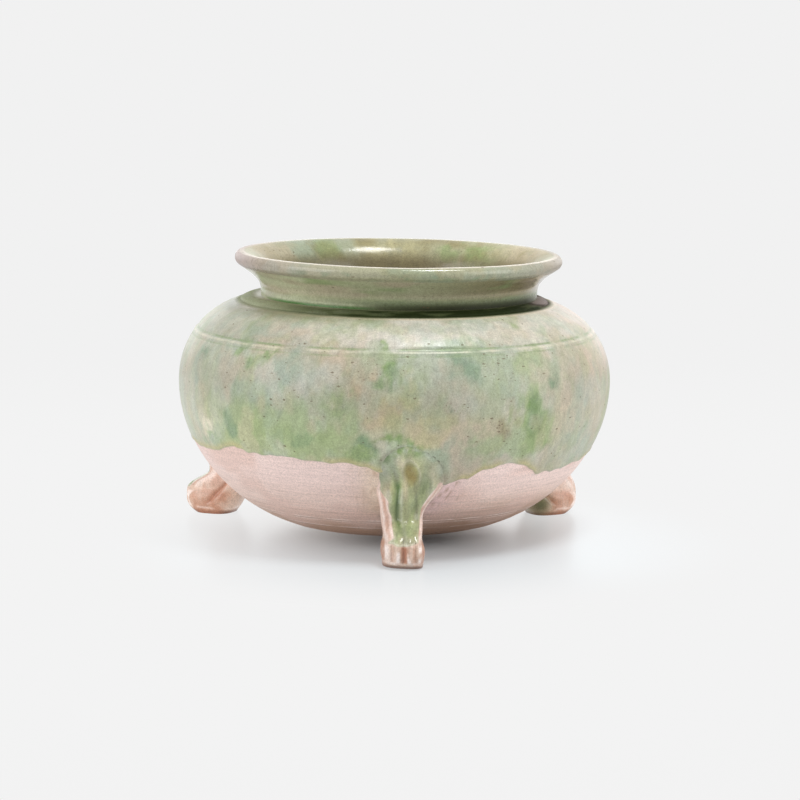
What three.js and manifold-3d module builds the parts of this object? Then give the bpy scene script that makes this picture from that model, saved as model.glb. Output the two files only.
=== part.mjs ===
// Tripod incense burner: a thrown globular bowl with a collar luted on, on three moulded lion-paw legs.
// Millimetres, +Z up. The soles stand on Z = 0 and the origin is under the middle of the whole.
import * as THREE from 'three';
import { mergeVertices } from 'three/addons/utils/BufferGeometryUtils.js';
import Module from 'manifold-3d';

// Driving dimensions: the bowl
const bellyRadius = 90;
const bellyHeight = 62.8;
const baseHeight = 2;
const baseFlatRadius = 31;
const baseRun = 25.4;
const lowerSwell = 35;
const upperSwell = 21.3;
const shoulderRun = 9.6;
const shoulderDrop = 1.9;
const terraceRadius = 64;
const terraceHeight = 95.9;
const terraceStep = 0.7;
const terraceRise = 1.3;
const bowlWall = 5.5;
const floorThickness = 7;
const mouthRadius = 50.5;
const seatMargin = 1.5;
const innerLedge = 1;

// The groove cut round the shoulder, and the thin ridge left under it
const grooveHeight = 85;
const grooveDepth = 0.45;
const grooveWidth = 0.8;
const ridgeHeight = 0.35;
const ridgeWidth = 0.6;

// The collar: an upright neck that flares to a rolled lip, set slightly off the bowl's middle.
// The roll runs between two angles in degrees, from the flare's end over the top to the inside, and the
// shares say how far up the neck's curves are steered.
const neckRadius = 56.9;
const neckWall = 4.6;
const collarHeight = 18.1;
const lipRadius = 65.45;
const lipRoll = 2.8;
const rollStart = -58;
const rollEnd = 155;
const footFlare = 0.8;
const waistFlare = 0.5;
const flareStart = 1.5;
const waistShare = 0.4;
const flareShare = 0.49;
const boreShare = 0.62;
const rimReturn = 3.2;
const rimDrop = 2.6;
const collarOffset = 1.9;

// The lean of the soft clay: drop per millimetre towards +X at the terrace and at the lip
const bowlLean = 0.015;
const collarLean = 0.018;

// The legs: how far the toes stand beyond the belly and the shin inside it, then their own sizes
const toeOverhang = 7.4;
const shinSetback = 2.8;
const pawLength = 22.5;
const pawWidth = 17.4;
const pawHeight = 16.5;
const toeLift = 5.4;
const toeTipShare = 0.4;
const heelRake = 0.6;
const heelTuck = 0.8;
const shinFollow = 0.35;
const pawSquareness = 2.7;
const shinSquareness = 2;
const ankleWidth = 15.3;
const shinWidth = 16.5;
const haunchWidth = 29.6;
const haunchHeight = 37;
const haunchRise = 4.6;
const legTop = 48.5;
const legSink = 3;
const toeCount = 4;
const toeGrooveDepth = 1.2;
const creaseSetback = 14.7;
const creaseLevel = 5.6;
const creaseSlope = 0.9;
const creaseDepth = 0.8;
const creaseWidth = 1.4;
const tendonDepth = 0.9;
const tendonSpacing = 4.3;
const tendonSpread = 0.22;
const tendonWidth = 1.15;
const leastHalf = 0.4;
const leastStep = 0.2;
const bossWidth = 6.4;
const bossHeight = 11.2;
const bossLevel = 36.3;
const bossRelief = 0.75;
const bossRim = 0.3;
const domePower = 2.4;

// Every luted joint keeps this gap, which the slip and glaze fill
const lutingGap = 0.3;

// Counts of facets
const roundSegments = 60;
const curveSteps = 11;
const collarSteps = 7;
const rollSteps = 9;
const legRings = 24;
const legSides = 36;

// Each leg's azimuth in degrees, extra reach, sideways sway of its haunch and turn of its paw
const legs = [
  { name: 'leg_front', azimuth: -87.8, reach: 2.5, sway: 3.6, turn: 0.3 },
  { name: 'leg_rear_right', azimuth: 26.3, reach: -10.8, sway: -1.2, turn: 0 },
  { name: 'leg_rear_left', azimuth: 155, reach: 1.2, sway: 1, turn: 0 },
];

const glaze = new THREE.Color(0xa3ab93);
const bareClay = new THREE.Color(0x9a7661);

// A smooth step from 0 to 1 between two values
const ease = (from, to, value) => THREE.MathUtils.smoothstep(value, from, to);

// A bump of height 1 and the given half width
const bump = (distance, halfWidth) => Math.exp(-((distance / halfWidth) ** 2));

// The outer line of the bowl as two Bezier curves that meet at the belly
function bowlCurves() {
  const belly = new THREE.Vector2(bellyRadius, bellyHeight);
  const lower = new THREE.CubicBezierCurve(
    new THREE.Vector2(baseFlatRadius, baseHeight),
    new THREE.Vector2(baseFlatRadius + baseRun, baseHeight),
    new THREE.Vector2(bellyRadius, bellyHeight - lowerSwell),
    belly,
  );
  const upper = new THREE.CubicBezierCurve(
    belly,
    new THREE.Vector2(bellyRadius, bellyHeight + upperSwell),
    new THREE.Vector2(terraceRadius + shoulderRun, terraceHeight - shoulderDrop),
    new THREE.Vector2(terraceRadius, terraceHeight),
  );
  return { lower, upper };
}

// Points and outward normals along one curve
function sampleCurve(curve, steps) {
  const samples = [];
  for (let i = 0; i <= steps; i += 1) {
    const tangent = curve.getTangent(i / steps);
    samples.push({ point: curve.getPoint(i / steps), normal: new THREE.Vector2(tangent.y, -tangent.x) });
  }
  return samples;
}

// The curve's parameter at a height
function parameterAt(curve, height) {
  let low = 0;
  let high = 1;
  for (let i = 0; i < 40; i += 1) {
    const middle = (low + high) / 2;
    if (curve.getPoint(middle).y < height) low = middle;
    else high = middle;
  }
  return (low + high) / 2;
}

// The bowl's outer radius at a height up to the terrace
function bowlRadiusAt(height) {
  const { lower, upper } = bowlCurves();
  const curve = height < bellyHeight ? lower : upper;
  return curve.getPoint(parameterAt(curve, height)).x;
}

// The shoulder's wall, with the groove and the ridge turned into it
function shoulderSamples() {
  const { upper } = bowlCurves();
  const ridge = grooveHeight - grooveWidth - ridgeWidth;
  const breaks = [
    ridge - 1.6 * ridgeWidth,
    ridge,
    ridge + ridgeWidth,
    grooveHeight,
    grooveHeight + 1.2 * grooveWidth,
  ].map((height) => parameterAt(upper, height));
  const lead = Math.round(curveSteps * breaks[0]);
  const parameters = [];
  for (let i = 1; i < lead; i += 1) parameters.push((breaks[0] * i) / lead);
  parameters.push(...breaks);
  const last = breaks[breaks.length - 1];
  const tail = curveSteps - lead;
  for (let i = 1; i <= tail; i += 1) parameters.push(last + ((1 - last) * i) / tail);
  return parameters.map((t) => {
    const point = upper.getPoint(t);
    const tangent = upper.getTangent(t);
    const normal = new THREE.Vector2(tangent.y, -tangent.x);
    const cut = grooveDepth * bump(point.y - grooveHeight, grooveWidth);
    const raised = ridgeHeight * bump(point.y - ridge, ridgeWidth);
    return point.addScaledVector(normal, raised - cut);
  });
}

// The height of the flat seat that carries the collar
const seatHeight = terraceHeight + terraceStep + terraceRise;

// The closed section of the bowl: out along the base, up the outside, over the terrace and back inside
function bowlProfile() {
  const { lower, upper } = bowlCurves();
  const outerLower = sampleCurve(lower, curveSteps);
  const outline = [new THREE.Vector2(0, baseHeight)];
  outline.push(...outerLower.map((sample) => sample.point));
  outline.push(...shoulderSamples());
  outline.push(new THREE.Vector2(terraceRadius - terraceStep / 2, terraceHeight + terraceStep));
  outline.push(new THREE.Vector2(neckRadius + collarOffset + seatMargin, seatHeight));
  outline.push(new THREE.Vector2(mouthRadius, seatHeight));
  const inside = [];
  const skin = [...outerLower.slice(1), ...sampleCurve(upper, curveSteps).slice(1)];
  for (const { point, normal } of skin) {
    const depth = bowlWall + (floorThickness - bowlWall) * ease(0.3, 1, -normal.y);
    const inner = point.clone().addScaledVector(normal, -depth);
    if (inner.x > mouthRadius + innerLedge || inner.y < bellyHeight) inside.push(inner);
  }
  const cavityFloor = baseHeight + floorThickness;
  const rising = inside.filter((point) => point.y > cavityFloor + leastStep);
  const shoulderInside = rising[rising.length - 1];
  const lipUnderside = Math.min(seatHeight - innerLedge, shoulderInside.y + innerLedge / 2);
  outline.push(new THREE.Vector2(mouthRadius, lipUnderside));
  outline.push(...rising.reverse());
  outline.push(new THREE.Vector2(baseFlatRadius, cavityFloor));
  outline.push(new THREE.Vector2(0, cavityFloor));
  return outline;
}

// The closed section of the collar, from its foot up the outside, round the lip and down the inside
function collarProfile() {
  const foot = seatHeight + lutingGap;
  const lipHeight = seatHeight + collarHeight - lipRoll;
  const rise = lipHeight - foot;
  const boreRadius = neckRadius - neckWall;
  const onRoll = (degrees) => {
    const angle = THREE.MathUtils.degToRad(degrees);
    return new THREE.Vector2(lipRadius + lipRoll * Math.cos(angle), lipHeight + lipRoll * Math.sin(angle));
  };
  const outside = new THREE.CubicBezierCurve(
    new THREE.Vector2(neckRadius + footFlare, foot),
    new THREE.Vector2(neckRadius + waistFlare, foot + waistShare * rise),
    new THREE.Vector2(neckRadius + flareStart, foot + flareShare * rise),
    onRoll(rollStart),
  );
  const profile = sampleCurve(outside, collarSteps).map((sample) => sample.point);
  for (let i = 1; i <= rollSteps; i += 1) {
    profile.push(onRoll(THREE.MathUtils.lerp(rollStart, rollEnd, i / rollSteps)));
  }
  const rim = profile[profile.length - 1];
  const inside = new THREE.CubicBezierCurve(
    rim,
    new THREE.Vector2(rim.x - rimReturn, rim.y - rimDrop),
    new THREE.Vector2(boreRadius, foot + boreShare * rise),
    new THREE.Vector2(boreRadius, foot),
  );
  profile.push(...sampleCurve(inside, collarSteps).slice(1).map((sample) => sample.point));
  profile.push(profile[0].clone());
  return profile;
}

// The lean at a height: none up to the belly, then growing to the terrace and on to the lip
function leanAt(height) {
  const onBowl = THREE.MathUtils.clamp((height - bellyHeight) / (seatHeight - bellyHeight), 0, 1);
  const onCollar = THREE.MathUtils.clamp((height - seatHeight) / collarHeight, 0, 1);
  return bowlLean * onBowl + (collarLean - bowlLean) * onCollar;
}

// Let every point sink towards +X by the lean at its height
function leanClay(geometry) {
  const position = geometry.attributes.position;
  for (let i = 0; i < position.count; i += 1) {
    const z = position.getZ(i);
    position.setZ(i, z - position.getX(i) * leanAt(z));
  }
  return geometry;
}

// A body of revolution about Z
function turned(profile) {
  const geometry = new THREE.LatheGeometry(profile, roundSegments);
  geometry.rotateX(Math.PI / 2);
  return welded(geometry);
}

// Merge shared vertices and drop the triangles that closed up on the axis
function welded(geometry) {
  const bare = geometry.clone();
  bare.deleteAttribute('normal');
  bare.deleteAttribute('uv');
  const merged = mergeVertices(bare, 1e-4);
  const index = [];
  const source = merged.index.array;
  for (let i = 0; i < source.length; i += 3) {
    const [a, b, c] = [source[i], source[i + 1], source[i + 2]];
    if (a !== b && b !== c && a !== c) index.push(a, b, c);
  }
  merged.setIndex(index);
  return merged;
}

const wasm = await Module();
wasm.setup();

// A closed geometry as a solid for cutting
function solidOf(geometry) {
  return new wasm.Manifold(new wasm.Mesh({
    numProp: 3,
    vertProperties: new Float32Array(geometry.attributes.position.array),
    triVerts: new Uint32Array(geometry.index.array),
  }));
}

// A solid back as a geometry
function geometryOf(solid) {
  const mesh = solid.getMesh();
  const geometry = new THREE.BufferGeometry();
  geometry.setAttribute('position', new THREE.BufferAttribute(new Float32Array(mesh.vertProperties), 3));
  geometry.setIndex(new THREE.BufferAttribute(new Uint32Array(mesh.triVerts), 1));
  return geometry;
}

// A smooth line through a few [height, value] pairs
function smoothLine(pairs) {
  return (height) => {
    let value = pairs[0][1];
    for (let i = 1; i < pairs.length; i += 1) {
      const [from, start] = pairs[i - 1];
      const [to, end] = pairs[i];
      value += (end - start) * ease(from, to, height);
    }
    return value;
  };
}

// 1 up to the haunch's widest line, then rounding to 0 at the leg's top
function domeAt(height) {
  const part = THREE.MathUtils.clamp((height - haunchHeight) / (legTop - haunchHeight), 0, 1);
  return Math.sqrt(1 - part ** domePower);
}

// How far a leg's front stands from the bowl's axis: rounded toes, knuckles, shin and the haunch on the wall
function legFrontAt(height, reach) {
  const toe = bellyRadius + toeOverhang + reach;
  const shin = bellyRadius - shinSetback + shinFollow * reach;
  const tip = toeTipShare * pawHeight;
  if (height < tip) return toe - toeLift * (1 - height / tip) ** 2.5;
  const instep = THREE.MathUtils.lerp(toe, shin, ease(pawHeight / 2, pawHeight + 2, height) ** 1.6);
  const tuck = 2 * lutingGap * ease(legTop - 1.5, legTop, height);
  const onBowl = bowlRadiusAt(height) + haunchRise * domeAt(height) - tuck;
  return THREE.MathUtils.lerp(instep, onBowl, ease(pawHeight + 8, haunchHeight, height));
}

// How far a leg's inner side stands from the axis: the heel leans back under the bowl, then sinks into it
function legInnerAt(height, reach) {
  const heel = bellyRadius + toeOverhang - pawLength + reach;
  const rake = heelRake * Math.min(height, 0.75 * pawHeight);
  return heel + heelTuck * bump(height, 2) - rake - legSink * ease(pawHeight, pawHeight + 4, height);
}

// One leg in its own frame: +X points outward from the bowl's axis, and the sole is on Z = 0
function legGeometry(leg) {
  const halfWidth = smoothLine([
    [0, pawWidth * 0.46],
    [pawHeight * toeTipShare, pawWidth / 2],
    [pawHeight * 0.7, ankleWidth / 2],
    [pawHeight + 0.5, shinWidth / 2],
    [haunchHeight - 1, haunchWidth / 2],
  ]);
  const sway = smoothLine([[pawHeight + 1, 0], [haunchHeight - 3, leg.sway], [legTop, leg.sway / 2]]);
  const positions = [];
  for (let ring = 0; ring <= legRings; ring += 1) {
    const s = ring / legRings;
    const height = legTop * (s - 0.06 * Math.sin(2 * Math.PI * s));
    const front = legFrontAt(height, leg.reach);
    const inner = legInnerAt(height, leg.reach);
    const half = Math.max(halfWidth(height) * domeAt(height), leastHalf);
    const onShin = ease(pawHeight - 4, pawHeight + 4, height);
    const power = 2 / THREE.MathUtils.lerp(pawSquareness, shinSquareness, onShin);
    const pawTurn = leg.turn * (1 - ease(pawHeight, pawHeight + 6, height));
    for (let side = 0; side < legSides; side += 1) {
      const even = (side / legSides) * 2 * Math.PI;
      const angle = even - 0.3 * Math.sin(even);
      const c = Math.cos(angle);
      const q = Math.sin(angle);
      let across = half * Math.sign(q) * Math.abs(q) ** power;
      let out = (front + inner) / 2 + ((front - inner) / 2) * Math.sign(c) * Math.abs(c) ** power;
      out += frontRelief(across, height) * ease(0.05, 0.5, c);
      across -= Math.sign(q) * sideCrease(out - leg.reach, height) * ease(0.3, 0.8, Math.abs(q));
      out += pawTurn * across;
      positions.push(out, across + sway(height), height);
    }
  }
  const index = [];
  for (let ring = 0; ring < legRings; ring += 1) {
    for (let side = 0; side < legSides; side += 1) {
      const next = (side + 1) % legSides;
      const a = ring * legSides + side;
      const b = ring * legSides + next;
      const c = (ring + 1) * legSides + next;
      const d = (ring + 1) * legSides + side;
      index.push(a, b, c, a, c, d);
    }
  }
  const soleCentre = positions.length / 3;
  const top = legRings * legSides;
  const heel = legInnerAt(0, leg.reach);
  positions.push(heel + pawLength * 0.45, 0, 0);
  positions.push(heel + pawLength / 2, sway(legTop), legTop);
  for (let side = 0; side < legSides; side += 1) {
    const next = (side + 1) % legSides;
    index.push(soleCentre, next, side);
    index.push(soleCentre + 1, top + side, top + next);
  }
  const geometry = new THREE.BufferGeometry();
  geometry.setAttribute('position', new THREE.Float32BufferAttribute(positions, 3));
  geometry.setIndex(index);
  return geometry;
}

// What the mould raises and sinks on the front of a leg: toes, spreading tendons and the oval knee boss
function frontRelief(across, height) {
  const toePitch = pawWidth / toeCount;
  const onToes = (1 - ease(pawHeight * 0.62, pawHeight * 0.95, height)) * ease(1.6, 4.2, height);
  const toe = (across / toePitch + toeCount / 2) * Math.PI;
  let relief = -toeGrooveDepth * onToes * (1 - Math.abs(Math.sin(toe)));
  const fade = 1 - ease(haunchHeight, haunchHeight + 6, height);
  const onShin = ease(pawHeight - 2, pawHeight + 3, height) * fade;
  const spread = tendonSpacing / 2 + tendonSpread * (height - pawHeight - 2.5);
  for (const side of [-1, 1]) {
    relief -= tendonDepth * onShin * bump(across - side * spread, tendonWidth);
  }
  const boss = Math.hypot(across / (bossWidth / 2), (height - bossLevel) / (bossHeight / 2));
  relief += bossRelief * bump(boss - 1, bossRim);
  return relief;
}

// The crease beside the paw, which runs down and forward from the heel towards the toes
function sideCrease(out, height) {
  const line = bellyRadius + toeOverhang - creaseSetback - creaseSlope * (height - creaseLevel);
  const above = ease(creaseLevel - 2.2, creaseLevel + 0.6, height);
  const below = 1 - ease(pawHeight - 2, pawHeight + 1, height);
  return creaseDepth * above * below * bump(out - line, creaseWidth);
}

// The bowl's outer shape grown by the luting gap, which the legs are cut to
function legCutter() {
  const { lower, upper } = bowlCurves();
  const grow = ({ point, normal }) => point.clone().addScaledVector(normal, lutingGap);
  const outline = [new THREE.Vector2(0, baseHeight - lutingGap)];
  outline.push(...sampleCurve(lower, curveSteps).map(grow));
  outline.push(...sampleCurve(upper, 4).slice(1).map(grow));
  outline.push(new THREE.Vector2(0, terraceHeight + lutingGap));
  return solidOf(turned(outline));
}

function meshOf(name, geometry, colour, roughness) {
  const flat = geometry.toNonIndexed();
  flat.computeVertexNormals();
  const material = new THREE.MeshStandardMaterial({ color: colour, roughness, metalness: 0 });
  const mesh = new THREE.Mesh(flat, material);
  mesh.name = name;
  return mesh;
}

const vessel = new THREE.Group();
vessel.add(meshOf('bowl', leanClay(turned(bowlProfile())), glaze, 0.25));

const collar = turned(collarProfile());
collar.translate(collarOffset, 0, 0);
vessel.add(meshOf('neck_collar', leanClay(collar), glaze.clone().offsetHSL(0.01, 0, -0.03), 0.25));

const cutter = legCutter();
for (const leg of legs) {
  const turn = THREE.MathUtils.degToRad(leg.azimuth);
  const placed = legGeometry(leg).applyMatrix4(new THREE.Matrix4().makeRotationZ(turn));
  const cut = geometryOf(solidOf(placed).subtract(cutter));
  vessel.add(meshOf(leg.name, cut, bareClay, 0.6));
}

// The origin goes under the middle of the whole, on the plane that the soles stand on
const reach = new THREE.Box3().setFromObject(vessel);
const centre = reach.getCenter(new THREE.Vector3());
vessel.position.set(-centre.x, -centre.y, -reach.min.z);

const burner = new THREE.Group();
burner.add(vessel);
burner.updateMatrixWorld(true);

export default burner;
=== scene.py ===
"""The finish of a tripod incense burner: a glazed bowl with a collar, on three moulded lion-paw legs."""
import math

import bpy
import numpy as np
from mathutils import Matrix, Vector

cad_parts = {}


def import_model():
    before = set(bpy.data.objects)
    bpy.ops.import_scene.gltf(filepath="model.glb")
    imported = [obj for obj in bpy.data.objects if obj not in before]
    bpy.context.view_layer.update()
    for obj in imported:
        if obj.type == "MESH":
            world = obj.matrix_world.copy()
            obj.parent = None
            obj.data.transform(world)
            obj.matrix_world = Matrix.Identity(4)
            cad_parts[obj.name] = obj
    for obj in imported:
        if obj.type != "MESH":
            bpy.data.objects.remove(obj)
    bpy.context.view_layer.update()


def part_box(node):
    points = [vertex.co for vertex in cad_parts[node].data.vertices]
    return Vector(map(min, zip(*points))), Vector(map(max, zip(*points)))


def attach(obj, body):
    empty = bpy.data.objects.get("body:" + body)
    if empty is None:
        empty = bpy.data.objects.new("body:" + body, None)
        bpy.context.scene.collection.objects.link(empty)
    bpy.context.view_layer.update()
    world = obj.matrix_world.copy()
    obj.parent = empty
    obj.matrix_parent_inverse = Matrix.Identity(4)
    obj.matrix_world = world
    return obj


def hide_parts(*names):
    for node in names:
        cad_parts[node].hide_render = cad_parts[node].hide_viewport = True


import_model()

MM = 0.001

# Sizes in millimetres, the same as the solids have
BELLY_HEIGHT = 62.8
BASE_HEIGHT = 2.0
BASE_FLAT = 31.0
BASE_RUN = 25.4
LOWER_SWELL = 35.0
UPPER_SWELL = 21.3
SHOULDER_RUN = 9.6
SHOULDER_DROP = 1.9
TERRACE_RADIUS = 64.0
TERRACE_HEIGHT = 95.9
TERRACE_STEP = 0.7
TERRACE_RISE = 1.3
WALL = 5.5
FLOOR = 7.0
MOUTH_RADIUS = 50.5
GROOVE_HEIGHT = 85.0
NECK_RADIUS = 56.9
NECK_WALL = 4.6
FOOT_FLARE = 0.8
COLLAR_HEIGHT = 18.1
LIP_RADIUS = 65.45
LIP_ROLL = 2.8
ROLL_START = math.radians(-58)
ROLL_END = math.radians(100)
COLLAR_OFFSET = 1.9
BOWL_LEAN = 0.015
COLLAR_LEAN = 0.018
SEAT_HEIGHT = TERRACE_HEIGHT + TERRACE_STEP + TERRACE_RISE
LIP_LEVEL = SEAT_HEIGHT + COLLAR_HEIGHT - LIP_ROLL

# Small margins at the corners of the bowl's mouth and of the collar's foot, in millimetres
TERRACE_DRAFT = 0.2
SEAT_MARGIN = 1.5
MOUTH_CLEAR = 3.0
FLOOR_CLEAR = 0.05
MOUTH_EDGE = 1.6
FOOT_SINK = 0.35
FOOT_CORNER = 0.35

# Handles of the collar's outer curve, as mm beyond the neck and part of the rise, and of its inner curve
NECK_WAIST = ((0.5, 0.4), (1.5, 0.49))
RIM_PULL = (4.6, 0.9)
BORE_PULL = (2.6, 0.4)

# Points along each curve of the two profiles, and how often the mouth's corners are cut
LOWER_STEPS = 160
UPPER_STEPS = 120
COLLAR_STEPS = 60
ROLL_STEPS = 50
MOUTH_CUTS = 3

# The bowl's axis and belly, from the frame
bowl_low, bowl_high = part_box("bowl")
AXIS = ((bowl_low[0] + bowl_high[0]) / 2 / MM, (bowl_low[1] + bowl_high[1]) / 2 / MM)
BELLY_RADIUS = (bowl_high[0] - bowl_low[0]) / 2 / MM

ROUND = 600
TURNS = np.arange(ROUND) / ROUND * 2 * math.pi
COLLAR_ROWS = 150
LEG_RINGS = 230
LEG_SIDES = 240

# Radii of the plain drums on which the fine streaks of the two glazes lie
BOWL_WALL = 80
COLLAR_WALL = 60


def ease(start, end, value):
    """A smooth step from 0 to 1 between two values."""
    part = np.clip((value - start) / (end - start), 0, 1)
    return part * part * (3 - 2 * part)


def wrapped(degrees):
    """Degrees brought to between -180 and 180."""
    return (degrees + 180) % 360 - 180


def fade(start, end, value):
    """A smooth step from 1 down to 0 between two values."""
    return 1 - ease(start, end, value)


def span(rise_start, rise_end, fall_start, fall_end, value):
    """A smooth step up to 1 and a smooth step down again."""
    return ease(rise_start, rise_end, value) * fade(fall_start, fall_end, value)


def bump(distance, half_width):
    """A bump of height 1 with the given half width."""
    return np.exp(-((distance / half_width) ** 2))


def patch(across, height, centre, level, half_across, half_height):
    """A soft oval patch round a centre on the surface."""
    return bump(across - centre, half_across) * bump(height - level, half_height)


# Large odd numbers that scatter a cell's place and the seed evenly, and the greatest value that comes out
HASH_X, HASH_Y, HASH_Z = 73856093, 19349663, 83492791
HASH_SEED = 40503
HASH_AGAIN = 1274126177
HASH_MOST = 0xFFFF


def noise(points, seed):
    """Smooth noise from -1 to 1 at each point, the same on every run."""
    cell = np.floor(points).astype(np.int64)
    part = points - cell
    part = part * part * (3 - 2 * part)
    total = np.zeros(len(points))
    for corner in np.ndindex(2, 2, 2):
        # Each corner of the cell gets its own number, mixed from its place and the seed
        lattice = cell + corner
        mixed = lattice[:, 0] * HASH_X ^ lattice[:, 1] * HASH_Y ^ lattice[:, 2] * HASH_Z
        mixed = mixed ^ (seed * HASH_SEED)
        mixed = (mixed ^ (mixed >> 13)) * HASH_AGAIN
        value = ((mixed ^ (mixed >> 16)) & HASH_MOST) / (HASH_MOST / 2) - 1
        total += value * np.prod(np.where(corner, part, 1 - part), axis=1)
    return total


def clouds(points, size, seed, octaves=3):
    """Layered noise whose largest forms are size millimetres across."""
    total = np.zeros(len(points))
    weight = 0.5
    for octave in range(octaves):
        total += weight * noise(points / size * 2 ** octave, seed + octave)
        weight /= 2
    return total


def bezier(a, b, c, d, steps):
    """Points along a cubic Bezier curve."""
    t = np.linspace(0, 1, steps)[:, None]
    a, b, c, d = (np.array(point, float) for point in (a, b, c, d))
    return (1 - t) ** 3 * a + 3 * t * (1 - t) ** 2 * b + 3 * t * t * (1 - t) * c + t ** 3 * d


def softened(points, passes):
    """Cut the corners off an open line of points, so that edges come out rounded."""
    for _ in range(passes):
        near = points[:-1] * 0.75 + points[1:] * 0.25
        far = points[:-1] * 0.25 + points[1:] * 0.75
        inner = np.stack([near, far], 1).reshape(-1, 2)
        points = np.vstack([points[:1], inner, points[-1:]])
    return points


class Line:
    """A profile line of (radius, height) points, read by its running length."""

    def __init__(self, points):
        steps = np.linalg.norm(np.diff(points, axis=0), axis=1)
        keep = np.concatenate([[True], steps > 1e-6])
        self.points = points[keep]
        steps = np.linalg.norm(np.diff(self.points, axis=0), axis=1)
        self.run = np.concatenate([[0], np.cumsum(steps)])
        tangent = np.gradient(self.points, self.run, axis=0)
        tangent /= np.linalg.norm(tangent, axis=1)[:, None]
        self.normals = np.stack([tangent[:, 1], -tangent[:, 0]], 1)
        self.length = self.run[-1]

    def at(self, run):
        """Radius, height and the outward normal's two parts at running lengths."""
        columns = [self.points[:, 0], self.points[:, 1], self.normals[:, 0], self.normals[:, 1]]
        return [np.interp(run, self.run, column) for column in columns]

    def run_at_height(self, height, upto):
        """The running length at a height on the rising outside, below the given length."""
        rising = self.run <= upto
        return np.interp(height, self.points[rising, 1], self.run[rising])


def lean_at(height):
    """How much the soft clay sank towards +X, per millimetre, at a height."""
    on_bowl = np.clip((height - BELLY_HEIGHT) / (SEAT_HEIGHT - BELLY_HEIGHT), 0, 1)
    on_collar = np.clip((height - SEAT_HEIGHT) / COLLAR_HEIGHT, 0, 1)
    return BOWL_LEAN * on_bowl + (COLLAR_LEAN - BOWL_LEAN) * on_collar


lower_wall = bezier(
    (BASE_FLAT, BASE_HEIGHT),
    (BASE_FLAT + BASE_RUN, BASE_HEIGHT),
    (BELLY_RADIUS, BELLY_HEIGHT - LOWER_SWELL),
    (BELLY_RADIUS, BELLY_HEIGHT),
    LOWER_STEPS,
)
upper_wall = bezier(
    (BELLY_RADIUS, BELLY_HEIGHT),
    (BELLY_RADIUS, BELLY_HEIGHT + UPPER_SWELL),
    (TERRACE_RADIUS + SHOULDER_RUN, TERRACE_HEIGHT - SHOULDER_DROP),
    (TERRACE_RADIUS, TERRACE_HEIGHT),
    UPPER_STEPS,
)
outer_wall = np.vstack([[[0, BASE_HEIGHT]], lower_wall, upper_wall[1:]])


def bowl_line():
    """The bowl's whole section, from the middle of its base round to the middle of its inside."""
    skin = Line(outer_wall)
    radius, height, out, up = skin.at(skin.run)
    # The wall thickens to the floor's thickness where the outside faces down
    depth = WALL + (FLOOR - WALL) * ease(0.3, 1, -up)
    inner = np.stack([radius - out * depth, height - up * depth], 1)
    floor = BASE_HEIGHT + FLOOR
    clear = (inner[:, 0] > MOUTH_RADIUS + MOUTH_CLEAR) | (height < BELLY_HEIGHT)
    inner = inner[clear & (inner[:, 1] > floor + FLOOR_CLEAR)][::-1]
    mouth = np.array([
        (TERRACE_RADIUS, TERRACE_HEIGHT),
        (TERRACE_RADIUS - TERRACE_DRAFT, TERRACE_HEIGHT + TERRACE_STEP),
        (NECK_RADIUS + COLLAR_OFFSET + SEAT_MARGIN, SEAT_HEIGHT),
        (MOUTH_RADIUS, SEAT_HEIGHT),
        (MOUTH_RADIUS, inner[0][1] + MOUTH_EDGE),
        tuple(inner[0]),
    ])
    middle = [[BASE_FLAT, floor], [0, floor]]
    return Line(np.vstack([outer_wall, softened(mouth, MOUTH_CUTS)[1:], inner[1:], middle]))


def collar_line():
    """The collar's closed section, from its foot up the outside, over the lip and down the inside."""
    foot = SEAT_HEIGHT - FOOT_SINK
    rise = LIP_LEVEL - foot
    bore = NECK_RADIUS - NECK_WALL
    angle = np.linspace(ROLL_START, ROLL_END, ROLL_STEPS)
    roll = np.stack([LIP_RADIUS + LIP_ROLL * np.cos(angle), LIP_LEVEL + LIP_ROLL * np.sin(angle)], 1)
    waist = [(NECK_RADIUS + proud, foot + part * rise) for proud, part in NECK_WAIST]
    outside = bezier((NECK_RADIUS + FOOT_FLARE, foot), *waist, roll[0], COLLAR_STEPS)
    rim = roll[-1]
    near_bore = (bore + BORE_PULL[0], LIP_LEVEL - BORE_PULL[1])
    inside = bezier(rim, rim - RIM_PULL, near_bore, (bore, foot), COLLAR_STEPS)
    close = [(bore + FOOT_CORNER, foot), (outside[0][0] - FOOT_CORNER, foot), outside[0]]
    return Line(np.vstack([outside, roll[1:], inside[1:], close]))


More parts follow.
